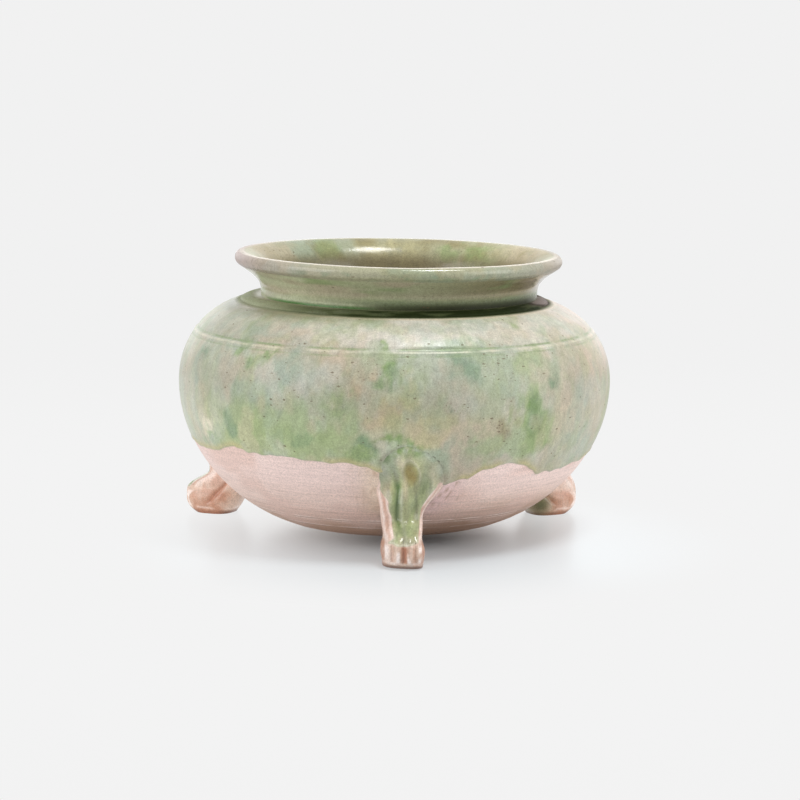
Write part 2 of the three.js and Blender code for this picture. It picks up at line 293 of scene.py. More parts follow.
# The glaze's and the clay's tones, and the tones of painted light and shade, as the eye reads them, 0 to 255
TONES = {
    "warm_grey": (178, 172, 149),
    "cool_grey": (173, 178, 158),
    "pink_grey": (187, 176, 157),
    "sage": (164, 171, 142),
    "moss": (154, 166, 124),
    "leaf": (126, 148, 92),
    "deep": (88, 112, 64),
    "teal": (148, 164, 144),
    "pine": (114, 136, 106),
    "haze": (188, 192, 180),
    "warm": (189, 174, 152),
    "rust": (186, 159, 128),
    "gold": (184, 174, 126),
    "cream": (214, 206, 186),
    "brown": (126, 108, 80),
    "olive": (96, 98, 62),
    "blush": (206, 200, 188),
    "inside": (150, 146, 112),
    "neck_olive": (168, 171, 139),
    "neck_painted_light": (196, 198, 168),
    "neck_painted_shade": (122, 112, 84),
    "neck_green": (134, 150, 106),
    "neck_pink": (174, 162, 140),
    "neck_lilac": (206, 199, 194),
    "neck_dark": (44, 48, 26),
    "emerald": (78, 122, 62),
    "lip_sage": (160, 160, 132),
    "lip_olive": (146, 146, 112),
    "lip_pink": (196, 173, 170),
    "lip_crest_highlight": (228, 218, 200),
    "well_sage": (158, 156, 126),
    "well_olive": (138, 130, 92),
    "well_depth_shade": (104, 94, 64),
    "terrace_dark": (30, 40, 8),
    "terrace_pale": (176, 182, 150),
    "terrace_olive": (112, 114, 76),
    "terrace_line": (206, 192, 168),
    "chip": (158, 144, 140),
    "crevice_shade": (64, 54, 44),
    "clay_pale": (230, 206, 199),
    "clay_mid": (225, 198, 186),
    "clay_base": (172, 133, 108),
    "clay_warm": (216, 184, 172),
    "slip_pink": (222, 192, 192),
    "slip_dull": (198, 180, 150),
    "crumb": (150, 118, 92),
    "leg_sage": (162, 164, 124),
    "ochre": (160, 142, 82),
    "boss_brown": (132, 109, 60),
    "leg_clay": (214, 186, 172),
    "paw_clay": (209, 183, 165),
    "paw_pale_and_highlight": (236, 220, 212),
    "red_clay_and_shade": (164, 108, 82),
    "paw_contact_shadow": (112, 74, 54),
}

# The lower edge of the glaze: degrees to the right of the front, and height in millimetres
GLAZE_EDGE = [
    (-180, 38), (-150, 41), (-120, 37), (-95, 39), (-74, 38), (-57, 40), (-48, 43), (-42, 41), (-29, 42),
    (-17, 40), (-4, 38.5), (4, 36), (13, 32), (21, 32), (25, 37), (32, 38.5), (38, 37), (45, 32), (60, 32),
    (85, 35), (110, 40), (140, 36), (180, 38),
]
SCALLOP_DEPTH = 2.2
FRAY_DEPTH = 0.45
EDGE_DROP = 0.6


def glaze_edge(angle):
    """The glaze edge's height at angles in degrees to the right of the front."""
    stations = np.array(GLAZE_EDGE, float)
    height = np.interp(angle, stations[:, 0], stations[:, 1])
    turn = np.radians(angle)
    place = np.stack([np.cos(turn), np.sin(turn), 0 * turn], 1)
    scallops = np.abs(noise(place * 9, 5)) * SCALLOP_DEPTH + noise(place * 24, 6) * FRAY_DEPTH
    return height - EDGE_DROP + scallops


# Soft washes on the bowl: tone, degrees right of the front, height, half widths in degrees and mm, strength.
# Each is drawn out a little beyond its half widths.
WASH_SPREAD = 1.15
BOWL_WASHES = [
    ("haze", -78, 64, 9, 24, 0.35), ("warm", 73, 64, 9, 18, 0.5), ("warm", -48.5, 73, 8, 6, 0.6),
    ("warm", -21.5, 81.3, 10, 3.5, 0.8), ("warm", -12, 70, 7, 6, 0.5), ("warm", -40, 88, 16, 3, 0.5),
    ("warm", 0, 89, 22, 2.5, 0.5), ("rust", -2, 61.3, 6, 4.5, 0.55), ("rust", -6, 69, 5, 4, 0.4),
    ("warm", 14, 55.5, 9, 6, 0.55), ("warm", 50.5, 65, 5, 7, 0.5), ("warm", 62.5, 77, 6, 7, 0.6),
    ("warm", -70, 72, 5, 12, 0.4), ("warm", -55, 56, 5, 5, 0.3), ("haze", 24, 64, 9, 7, 0.4),
    ("haze", -21, 73, 4.5, 5, 0.6), ("haze", -32, 73.7, 4, 4, 0.3), ("haze", 8, 72, 5, 6, 0.35),
    ("gold", -46, 50, 8, 4, 0.5), ("gold", 2, 68.9, 3, 4, 0.5), ("gold", -36, 47, 10, 4, 0.35),
    ("gold", 5, 54, 8, 5, 0.4), ("teal", -63.5, 76.2, 4, 5, 0.75), ("teal", -28, 76.2, 2.2, 6, 0.7),
    ("teal", -37, 64.4, 8, 5, 0.6), ("teal", -56, 43, 6, 2.5, 0.7), ("teal", -16, 62, 6, 6, 0.5),
    ("teal", 19, 79, 6, 5, 0.6), ("teal", 32, 84, 8, 6, 0.25), ("teal", 58, 46, 9, 8, 0.35),
    ("teal", 30, 70, 4, 7, 0.25), ("teal", 16, 43, 10, 4, 0.4), ("teal", -8, 50, 8, 5, 0.3),
    ("moss", -58, 62, 3, 8, 0.4), ("moss", -49, 90.5, 2.4, 2.6, 0.6), ("moss", -47, 86.5, 1.6, 3.2, 0.6),
    ("moss", -39.5, 78, 2.8, 2.4, 0.8), ("moss", -36, 80.2, 2.6, 1.8, 0.8), ("moss", -41, 72, 2.3, 5, 0.5),
    ("moss", -34, 53, 17, 9.5, 0.85), ("moss", -19, 52, 9, 10, 0.8), ("moss", -14, 47, 10, 5, 0.55),
    ("moss", -50, 47, 8, 4, 0.6), ("blush", 30, 91, 44, 5, 0.6), ("blush", -8, 90, 16, 4, 0.45),
    ("leaf", -30.5, 54, 8, 6, 0.25), ("leaf", -19.5, 57, 5, 7, 0.2), ("leaf", -48.5, 80.4, 2.6, 1.8, 0.95),
    ("leaf", -34.3, 82.3, 2.2, 1.3, 0.9), ("leaf", -13.5, 66, 2.2, 5.5, 0.5),
    ("pine", -48.5, 53, 3.5, 3, 0.65), ("cream", -57.5, 48.7, 2, 4.5, 0.8),
    ("moss", -1.5, 81, 2.2, 4, 0.35), ("leaf", -1.5, 86, 1.3, 1.2, 0.7),
    ("leaf", -1.2, 75.4, 2.5, 2.8, 0.9), ("deep", -0.4, 73.3, 1.5, 1.5, 0.8), ("pine", -5, 48, 3, 2, 0.7),
    ("leaf", 3, 49, 5, 1.6, 0.9), ("pine", 16, 62.8, 1.6, 1.4, 0.8), ("moss", 38.5, 79.7, 3.5, 5, 0.6),
    ("pine", 43, 73, 3, 2.8, 0.8), ("moss", 37, 64, 2.4, 6, 0.9), ("leaf", 37.5, 57, 3, 6, 0.95),
    ("moss", 38, 51, 8, 6, 0.85), ("brown", 29, 51, 2.6, 3.5, 0.4), ("leaf", 42, 47.5, 5, 3, 0.5),
    ("deep", 37.5, 58, 1.8, 7, 0.3), ("leaf", -40, 79, 2.4, 1.6, 0.5), ("pine", -62, 78, 2.4, 2.4, 0.5),
    ("leaf", -56, 43.5, 5, 1.6, 0.5), ("pine", -24, 50, 4, 2.5, 0.4), ("leaf", -8, 44, 4, 2, 0.6),
    ("pine", 20, 78, 3, 2.5, 0.5), ("moss", 26, 45, 8, 3, 0.5), ("leaf", 30, 62, 1.5, 3, 0.5),
    ("moss", 34.5, 47, 6, 3, 0.6), ("moss", 24, 70, 2, 6, 0.3), ("warm", 52, 55, 4, 8, 0.25),
    ("moss", 82, 55, 10, 13, 0.7), ("leaf", 100, 62, 5, 8, 0.5), ("teal", 112, 74, 10, 9, 0.6),
    ("moss", 128, 52, 14, 10, 0.8), ("warm", 142, 72, 12, 9, 0.6), ("leaf", 152, 60, 4, 12, 0.5),
    ("moss", 172, 54, 12, 11, 0.7), ("teal", -168, 72, 10, 9, 0.5), ("leaf", -156, 56, 5, 9, 0.5),
    ("warm", -146, 74, 12, 8, 0.6), ("moss", -130, 54, 14, 10, 0.8), ("teal", -112, 68, 8, 10, 0.5),
    ("moss", -94, 56, 9, 12, 0.6), ("leaf", -104, 80, 3, 4, 0.5), ("warm", 14, 66, 8, 6, 0.3),
    ("haze", 55, 70, 6, 8, 0.2), ("haze", -25, 60, 7, 6, 0.25),
]

# Washes inside the neck, seen above the near lip
NECK_WASHES = [
    ("warm", -112, 110, 18, 12, 0.5), ("teal", -136, 110, 7, 12, 0.6), ("leaf", -148, 111, 4, 8, 0.45),
    ("teal", -157, 113, 4, 5, 0.4), ("gold", -176, 108, 12, 8, 0.5), ("leaf", 156, 112, 4, 4, 0.5),
    ("leaf", 141, 108, 6, 6, 0.6), ("brown", 150, 104, 20, 4, 0.3), ("warm", 116, 110, 15, 12, 0.55),
    ("moss", 60, 108, 20, 9, 0.4), ("moss", -40, 106, 30, 9, 0.4), ("gold", 10, 108, 16, 9, 0.4),
]

# Where dark specks gather: degrees right of the front, height, half widths in degrees and mm
SPECK_CLUSTERS = [
    (0, 80.2, 4, 1.6), (-7.5, 75.8, 3, 1.6), (-15.5, 78, 3, 2), (7, 78, 5, 2), (-9.5, 65, 2.5, 1.5),
    (27.5, 55, 4, 4), (29, 51, 3, 4), (42.5, 56, 3, 3), (16, 63, 3, 3), (30, 76, 6, 8), (-30, 74, 6, 4),
    (100, 70, 12, 8), (-120, 60, 12, 8), (170, 74, 12, 6),
]

# Soft clouds in the bowl's glaze, under and over the washes: tone, strength, the noise's values between which
# it starts and ends to cover, size in mm and seed
CLOUDS_UNDER = [
    ("cool_grey", 1.0, -0.15, 0.2, 38, 71), ("pink_grey", 0.8, 0.02, 0.3, 24, 76),
    ("sage", 0.7, 0.04, 0.3, 13, 81),
]
CLOUDS_OVER = [
    ("moss", 0.3, 0.05, 0.32, 6, 131), ("teal", 0.25, 0.06, 0.32, 5, 134),
    ("warm", 0.35, 0.04, 0.3, 6.5, 137), ("haze", 0.3, 0.08, 0.34, 9, 140),
]

# Painted shade on the bowl's glaze, where it is darker: degrees right of the front, height, half widths in
# degrees and mm, and by how much
SHADED_PLACES = [
    (-26, 74, 20, 12, 0.06), (-52, 70, 12, 10, 0.05), (55, 69, 11, 11, 0.055), (14, 66, 9, 8, 0.045),
]

# Painted shade on the bowl's two edges: how much less red, green and blue its right edge has, and all three
# at its left edge
RIGHT_EDGE_PAINTED_SHADE = (0.02, 0.06, 0.03)
LEFT_EDGE_PAINTED_SHADE = (0.035, 0.035, 0.035)


def plain(tone, spot):
    """One tone at every point."""
    return np.tile(np.array(TONES[tone], float), (len(spot), 1))


def over(under, upper, amount):
    """Colours with others laid over them by an amount per point."""
    return under + (upper - under) * amount[:, None]


def blend(colour, tone, amount):
    """Mix a tone into the points' colours by an amount per point."""
    return over(colour, np.array(TONES[tone], float), np.clip(amount, 0, 1))


def layered(colour, layers):
    """Mix several tones into the points' colours, one after another."""
    for tone, amount in layers:
        colour = blend(colour, tone, amount)
    return colour


def cloudy(colour, spot, layers, seed=0):
    """Blend clouds of several tones into the colours."""
    for tone, strength, start, end, size, own_seed in layers:
        colour = blend(colour, tone, strength * ease(start, end, clouds(spot, size, own_seed + seed)))
    return colour


def paint(colour, spot, angle, height, washes, seed):
    """Lay soft washes over the points' colours, their edges drawn out downwards as the glaze ran."""
    aside = 6 * clouds(spot / [1, 1, 2.4], 11, seed, 4) + 3 * clouds(spot / [1, 1, 1.5], 3, seed + 20)
    down = 9 * clouds(spot, 8, seed + 5, 4) + 5 * clouds(spot, 3.5, seed + 24)
    uneven = 1 + 0.9 * clouds(spot / [1, 1, 2], 4, seed + 9) + 0.9 * clouds(spot, 12, seed + 14)
    for tone, centre, level, across, upright, strength in washes:
        turn = wrapped(angle + aside - centre)
        cover = patch(turn, height + down, 0, level, across * WASH_SPREAD, upright * WASH_SPREAD)
        colour = blend(colour, tone, strength * ease(0.03, 0.7, cover * uneven))
    return colour


def bowl_glaze(spot, angle, height):
    """The glaze on the bowl: clouds of warm, cool and pinkish grey under the green washes, with painted light
    and shade.
    """
    colour = cloudy(plain("warm_grey", spot), spot / [1, 1, 1.5], CLOUDS_UNDER)
    colour = paint(colour, spot, angle, height, BOWL_WASHES, 91)
    colour = cloudy(colour, spot / [1, 1, 1.4], CLOUDS_OVER)
    contrast = 0.05 + 0.07 * span(-15, 5, 90, 130, angle)
    colour = colour + (colour - plain("warm_grey", spot)) * contrast[:, None]
    # Painted shade at the bowl's right and left edges
    colour = colour * (1 - bump(angle - 92, 24)[:, None] * RIGHT_EDGE_PAINTED_SHADE)
    colour = colour * (1 - bump(angle + 92, 22)[:, None] * LEFT_EDGE_PAINTED_SHADE)
    # Painted light and shade: lighter round the lower belly, darker at the front right, in the shaded places
    # and high on the left shoulder; then random mottling
    light = 0.985 + 0.085 * bump(height - 49, 14) - 0.045 * bump(angle - 12, 24)
    for centre, level, across, upright, amount in SHADED_PLACES:
        light = light - amount * patch(angle, height, centre, level, across, upright)
    light = light - 0.07 * span(-90, -70, -45, -15, angle) * ease(80, 88, height)
    light = light + 0.05 * clouds(spot / [1, 1, 3], 2.8, 143, 2) + 0.06 * clouds(spot, 1.6, 146, 2)
    return colour * light[:, None]


# The standard sRGB curve: its straight foot's end and slope, and the shift and power above it
SRGB_FOOT = 0.04045
SRGB_SLOPE = 12.92
SRGB_SHIFT = 0.055
SRGB_POWER = 2.4


def linear(colour):
    """Colours as the eye reads them, 0 to 255, as the shader's linear colours."""
    part = np.asarray(colour, float) / 255
    curve = ((part + SRGB_SHIFT) / (1 + SRGB_SHIFT)) ** SRGB_POWER
    return np.where(part <= SRGB_FOOT, part / SRGB_SLOPE, curve)


def in_scene(name, data):
    """A new object with its data, linked into the scene."""
    thing = bpy.data.objects.new(name, data)
    bpy.context.scene.collection.objects.link(thing)
    return thing


def grid_mesh(name, places, closed_rows, fields, poles=None):
    """A mesh of rows by columns of points, closed round the columns, with attributes per point.

    places is rows x columns x 3 in millimetres. closed_rows joins the last row to the first; poles are
    the two end points that close the first and the last row. A field of three columns is a colour, except
    "wall", which is the place on the unrolled wall that the fine streaks follow.
    """
    rows, columns = places.shape[:2]
    points = places.reshape(-1, 3)
    row = np.arange(rows if closed_rows else rows - 1)[:, None]
    column = np.arange(columns)[None, :]
    after = (row + 1) % rows
    beside = (column + 1) % columns
    quads = np.stack([
        row * columns + column,
        row * columns + beside,
        after * columns + beside,
        after * columns + column,
    ], -1).reshape(-1, 4)
    faces = quads.tolist()
    if poles is not None:
        first = len(points)
        points = np.vstack([points, poles])
        last_row = (rows - 1) * columns
        for j in range(columns):
            k = (j + 1) % columns
            faces.append((first, k, j))
            faces.append((first + 1, last_row + j, last_row + k))
    mesh = bpy.data.meshes.new(name)
    mesh.from_pydata((points * MM).tolist(), [], faces)
    mesh.shade_smooth()
    for field, values in fields.items():
        if poles is not None:
            ends = [values[:columns].mean(0), values[-columns:].mean(0)]
            values = np.concatenate([values, ends])
        if field == "wall":
            layer = mesh.attributes.new(field, "FLOAT_VECTOR", "POINT")
            layer.data.foreach_set("vector", (values * MM).astype(np.float32).reshape(-1))
        elif values.ndim == 2:
            layer = mesh.attributes.new(field, "FLOAT_COLOR", "POINT")
            solid = np.column_stack([linear(values), np.ones(len(values))])
            layer.data.foreach_set("color", solid.astype(np.float32).reshape(-1))
        else:
            layer = mesh.attributes.new(field, "FLOAT", "POINT")
            layer.data.foreach_set("value", values.astype(np.float32))
    mesh.update()
    return in_scene(name, mesh)


def point_fields(tone, glazed, wall, **others):
    """The attributes of a mesh's points; those that aren't given are 0."""
    names = ("level", "specks", "shine", "seam", "dull")
    still = {name: others.get(name, 0 * glazed) for name in names}
    return {"tone": tone, "glazed": glazed, **still, "wall": wall}


def right_of_front(turn):
    """Turns round the axis in radians, as degrees to the right of the front."""
    return wrapped(np.degrees(turn) + 90)


def round_points(line, run):
    """Turn, radius, height and the outward normal's two parts at rows of running lengths round the axis."""
    turn = np.broadcast_to(TURNS, run.shape).reshape(-1)
    return turn, *line.at(run.reshape(-1))


def on_drum(radius, turn, height):
    """Points at radius and height round an upright axis through the origin."""
    return np.stack([radius * np.cos(turn), radius * np.sin(turn), height], 1)


def place_round(radius, height, turn, offset, shape):
    """Rows of points at radius and height round the axis, leaned as the clay is, in the row frame."""
    x = radius * np.cos(turn) + offset
    y = radius * np.sin(turn)
    z = height - x * lean_at(height)
    return np.stack([x + AXIS[0], y + AXIS[1], z], -1).reshape(*shape, 3)


# Rows of the bowl's mesh: how far they keep from the middles, half the dense bands at the glaze's edge and
# the terrace's corner, heights between them, where the inside's coarse rows start, and rows in each stretch
POLE_GAPS = (0.6, 0.8)
EDGE_BAND = 1.4
CORNER_BAND = 1.5
ROW_HEIGHTS = (52, 81.5, 88)
INNER_START = 18
ROW_COUNTS = (3, 24, 9, 12, 19, 16, 11, 6, 16, 24)

# Relief in millimetres: the glaze's film and the bead at its edge, the groove, the two ridges under it and
# how far below it they stand, the throwing rings, and how uneven the bowl and the collar are
GLAZE_FILM = 0.28
GLAZE_BEAD = 0.22
GROOVE_DEPTH = 0.38
RIDGE_RISE = (0.22, 0.14)
RIDGE_DROP = (1.35, 2.8)
RING_RISE = 0.04
BOWL_UNEVEN = (0.25, 0.08)
COLLAR_UNEVEN = (0.2, 0.03)

# Degrees right of the front between which what the photo shows gives way to the unseen back
TO_BACK = (120, 170)
TO_FAR_BACK = (130, 170)

# Turning lines on the bare clay: height, depth and half height
TURNING_LINES = [
    (13.2, 0.16, 0.3), (12.2, 0.12, 0.25), (9.0, 0.1, 0.3), (16.8, 0.07, 0.3),
    (19.5, 0.05, 0.35), (7.2, 0.08, 0.25), (24, 0.04, 0.4), (4.6, 0.08, 0.3),
]

# The chip on the terrace: degrees right of the front and radius, with half its size in each
CHIP_PLACE = (82, 61.2)
CHIP_HALF = (15, 3.3)


def bowl_rows(line, outside, edge):
    """Running lengths from the base to the inside's middle, densest at the glaze's edge and the groove."""
    levels = [line.run_at_height(height, outside) for height in ROW_HEIGHTS]
    starts = [POLE_GAPS[0], BASE_FLAT, edge - EDGE_BAND, edge + EDGE_BAND, *levels,
              outside - CORNER_BAND, outside + CORNER_BAND, outside + INNER_START, line.length - POLE_GAPS[1]]
    starts = [start + np.zeros(ROUND) for start in starts]
    rows = [
        start + (end - start) * i / count
        for start, end, count in zip(starts, starts[1:], ROW_COUNTS)
        for i in range(count)
    ]
    return np.array(rows + starts[-1:])


def bowl_relief(spot, turn, height, from_edge, glazed):
    """How far the surface stands off the wall: the glaze's film, the groove, its ridges and turning lines."""
    film = GLAZE_FILM * ease(-0.5, 0.7, from_edge) + GLAZE_BEAD * bump(from_edge - 0.9, 0.8)
    soft = 1 - 0.55 * np.clip(noise(np.stack([turn * 3, turn * 0, turn * 0 + 3], 1), 21), 0, 1)
    above = height - GROOVE_HEIGHT
    groove = -GROOVE_DEPTH * soft * bump(above, 0.6)
    ridges = RIDGE_RISE[0] * bump(above + RIDGE_DROP[0], 0.5)
    here_and_there = ease(-0.3, 0.5, noise(spot / 30, 22))
    ridges += RIDGE_RISE[1] * bump(above + RIDGE_DROP[1], 0.6) * here_and_there
    turning = 0
    for level, depth, half in TURNING_LINES:
        turning = turning + depth * bump(height - level - 0.5 * np.sin(turn * 2 + level), half)
    return film + groove + ridges + turning * (1 - glazed)


def terrace(colour, turn, degrees, radius, past, ledge):
    """The terrace and the wall under it: dark in the painted shadow of the neck, pale at the left, with a
    chip.
    """
    rim_line = bump(past + 2.8, 0.9) * span(-85, -50, *TO_FAR_BACK, degrees)
    colour = blend(colour, "terrace_line", 0.7 * rim_line)
    streaks = ease(-0.25, 0.25, clouds(np.stack([turn * 5, radius / 1.4, 0 * turn], 1), 1, 26))
    below = ease(-12, -2.5, past) * fade(4, 8, past) * span(-85, -55, -12, 5, degrees)
    colour = blend(colour, "terrace_olive", 0.5 * below * (0.6 + 0.4 * streaks))
    # Pale streaks on the ledge, and more pale at the left, which is painted light
    colour = blend(colour, "terrace_pale", ledge * (0.3 + 0.4 * streaks + 0.3 * fade(-62, -35, degrees)))
    # Painted shadow of the neck on the terrace, over darker pooled glaze; weaker at the left and at the right
    # end
    shadowed = 0.06 + 0.89 * span(-62, 8, *TO_BACK, degrees) * (1 - 0.75 * ease(58, 84, degrees))
    colour = blend(colour, "terrace_dark", ledge * np.clip(shadowed * (0.75 + 0.5 * streaks), 0, 1))
    chip = np.hypot((degrees - CHIP_PLACE[0]) / CHIP_HALF[0], (radius - CHIP_PLACE[1]) / CHIP_HALF[1])
    colour = blend(colour, "chip", fade(0.85, 1.0, chip) * ledge)
    # Painted shade in the crevice round the chip
    return blend(colour, "crevice_shade", bump(chip - 1, 0.14) * ledge)


def bowl_clay(spot, degrees, height, gap, outer):
    """The bare clay: pale above, where the light glaze's slip ran thin, and browner towards the base."""
    to_right = span(0, 40, *TO_FAR_BACK, degrees)
    clay = blend(plain("clay_pale", spot), "clay_mid", fade(17, 36, height))
    clay = blend(clay, "clay_base", fade(4 + 3 * to_right, 20 + 6 * to_right, height))
    clay = cloudy(clay, spot / [1, 1, 0.6], [("clay_warm", 0.6, 0, 0.3, 22, 24)])
    # Painted light and shade: the clay lighter towards the right, and darker low down just right of the front
    # leg
    light = 1 + 0.05 * to_right - 0.12 * bump(degrees - 24, 26) * fade(10, 24, height)
    clay = clay * light[:, None]
    # Beside the front leg the slip is pinkish on the right and dull on the left, with dark crumbs in it
    slip_band = bump(gap - 1.0, 6.0) * ease(14, 20, height) * outer
    crumbs = ease(0.12, 0.3, clouds(spot, 1.5, 27, 2)) * bump(gap - 3, 6) * ease(18, 24, height)
    right_of_leg = span(0, 6, 20, 26, degrees)
    left_of_leg = span(-26, -18, -4, 0, degrees)
    return layered(clay, [
        ("slip_pink", 0.7 * slip_band * right_of_leg),
        ("slip_dull", 0.45 * slip_band * left_of_leg),
        ("crumb", crumbs * (0.55 * right_of_leg + 0.35 * left_of_leg)),
    ])


def bowl_piece():
    """The bowl's fine surface, with a row of points along the wavy edge of the glaze."""
    line = bowl_line()
    outside = Line(outer_wall).length
    edge = line.run_at_height(glaze_edge(right_of_front(TURNS)), outside)
    rows = bowl_rows(line, outside, edge)
    turn, radius, height, out, up = round_points(line, rows)
    degrees = right_of_front(turn)
    run = rows.reshape(-1)
    from_edge = (rows - edge).reshape(-1)
    spot = on_drum(radius, turn, height)
    past = run - outside
    inside = ease(4, 8, past)
    outer = 1 - inside
    ledge = ease(-2.0, -1.2, past) * outer
    glazed = ease(-0.25, 0.25, from_edge)
    level = np.where(inside > 0.5, 0, height)

    colour = bowl_glaze(spot, degrees, height)
    edging = bump(from_edge - 1.0, 1.6) * ease(-0.2, 0.3, noise(spot / 11, 23))
    colour = blend(colour, "gold", 0.75 * edging)
    colour = terrace(colour, turn, degrees, radius, past, ledge)
    colour = blend(colour, "inside", inside)
    gap = nearest_joint(turn, height)
    solid = np.maximum(glazed, inside)
    tone = over(bowl_clay(spot, degrees, height, gap, outer), colour, solid)
    # Painted shade in the crease where each leg joins the bowl, broken up by noise
    tone = blend(tone, "crevice_shade", 0.25 * bump(gap, 0.9) * outer * ease(0, 0.4, noise(spot / 9, 61)))
    specks = np.zeros(len(spot))
    for centre, place, across, upright in SPECK_CLUSTERS:
        specks = np.maximum(specks, 0.45 * patch(degrees, level, centre, place, across, upright))

    wobble = BOWL_UNEVEN[0] * noise(spot / [34, 34, 60], 11) + BOWL_UNEVEN[1] * noise(spot / [12, 12, 9], 12)
    relief = bowl_relief(spot, turn, height, from_edge, glazed) + luting_slip(gap, height)
    lift = relief * outer + wobble * ease(5, 20, height)
    places = place_round(radius + out * lift, height + up * lift, turn, 0, rows.shape)
    poles = np.array([[*AXIS, BASE_HEIGHT], [*AXIS, BASE_HEIGHT + FLOOR]])
    fields = point_fields(tone, solid, on_drum(BOWL_WALL, turn, run), level=level, specks=specks, dull=ledge)
    return grid_mesh("glazed_bowl", places, False, fields, poles)


# Clouds outside the neck, in the same form as the bowl's
NECK_CLOUDS = [("neck_green", 0.8, 0.0, 0.3, 11, 34), ("neck_pink", 0.7, 0.02, 0.3, 13, 38)]


def neck_shade(degrees):
    """How dark the shadow at the neck's foot is, round the neck."""
    return 0.05 + 0.95 * span(-55, 25, *TO_BACK, degrees) * (1 - 0.6 * ease(62, 84, degrees))


def neck_glaze(spot, degrees, height):
    """Outside the neck: olive with level blotches, painted light at the left and shade to the right, a shadow
    at the foot.
    """
    up = height - SEAT_HEIGHT
    to_left = fade(-75, -5, degrees) + ease(*TO_BACK, degrees)
    # Painted light at the left, and painted shade, darker and browner, to the right
    colour = blend(plain("neck_olive", spot), "neck_painted_light", 0.85 * to_left)
    colour = blend(colour, "neck_painted_shade", 0.8 * span(-5, 55, *TO_BACK, degrees))
    colour = cloudy(colour, spot / [2.2, 2.2, 0.45], NECK_CLOUDS)
    colour = blend(colour, "neck_lilac", 0.8 * span(60, 78, 110, 150, degrees))
    # More painted light at the neck's left front
    colour = colour * (1 + 0.06 * bump(degrees + 38, 25))[:, None]
    emerald = span(-78, -50, -22, -5, degrees)
    under_lip = bump(height - LIP_LEVEL + 2.5, 0.6) * ease(-0.3, 0.2, noise(spot / 14, 35))
    return layered(colour, [
        ("neck_pink", 0.45 * bump(up - 5.3, 1.6)),
        ("neck_green", (0.2 + 0.5 * ease(-55, 10, degrees)) * bump(up - 2.6, 1.8)),
        ("neck_dark", neck_shade(degrees) * fade(0.3, 4.6, up)),
        ("emerald", 0.9 * emerald * bump(up - 0.4, 0.8)),
        # Painted highlights: a thin line just above the emerald line, and one under the lip
        ("neck_painted_light", 0.7 * emerald * bump(up - 1.6, 0.6)),
        ("neck_painted_light", 0.6 * under_lip),
    ])


def lip_glaze(spot, degrees, around, lip_end):
    """The lip: sage and olive, pinkish and in painted shade at its ends, with a painted highlight along its
    crest.
    """
    aside = np.abs(degrees)
    lip = cloudy(plain("lip_sage", spot), spot / [1.6, 1.6, 1], [("lip_olive", 1, -0.15, 0.25, 12, 39)])
    lip = cloudy(lip, spot, [("teal", 0.45, 0.05, 0.3, 9, 42)])
    lip = blend(lip, "pine", 0.6 * ease(0.05, 0.3, clouds(spot, 5, 45)) * bump(around + 25, 30))
    lip = blend(lip, "lip_pink", 0.85 * bump(degrees + 85, 45) + 0.5 * bump(degrees - 85, 40))
    # A painted highlight along the roll's crest, and along the far rim's top
    crest = span(62, 72, 100, 125, around)
    lip = blend(lip, "lip_crest_highlight", (0.25 + 0.65 * fade(70, 100, aside)) * crest)
    lip = blend(lip, "lip_crest_highlight", 0.45 * ease(75, 100, around % 360) * ease(115, 145, aside))
    # Painted shade at the lip's ends
    return lip * (1 - 0.13 * lip_end)[:, None]


def well_glaze(spot, degrees, height):
    """Inside the neck: sage and olive with washes, painted light at the back right, and painted shade darker
    with depth.
    """
    well = cloudy(plain("well_sage", spot), spot, [("well_olive", 1, -0.1, 0.25, 16, 44)])
    well = paint(well, spot, degrees, height, NECK_WASHES, 47)
    # Painted light on the inner wall at the back right
    well = well * (1 + 0.12 * bump(degrees - 134, 26))[:, None]
    # Painted shade, darker with depth, less at the back right
    deep = (0.85 - 0.4 * bump(degrees - 145, 30)) * fade(8.0, 14.5, height - SEAT_HEIGHT)
    return blend(well, "well_depth_shade", deep)


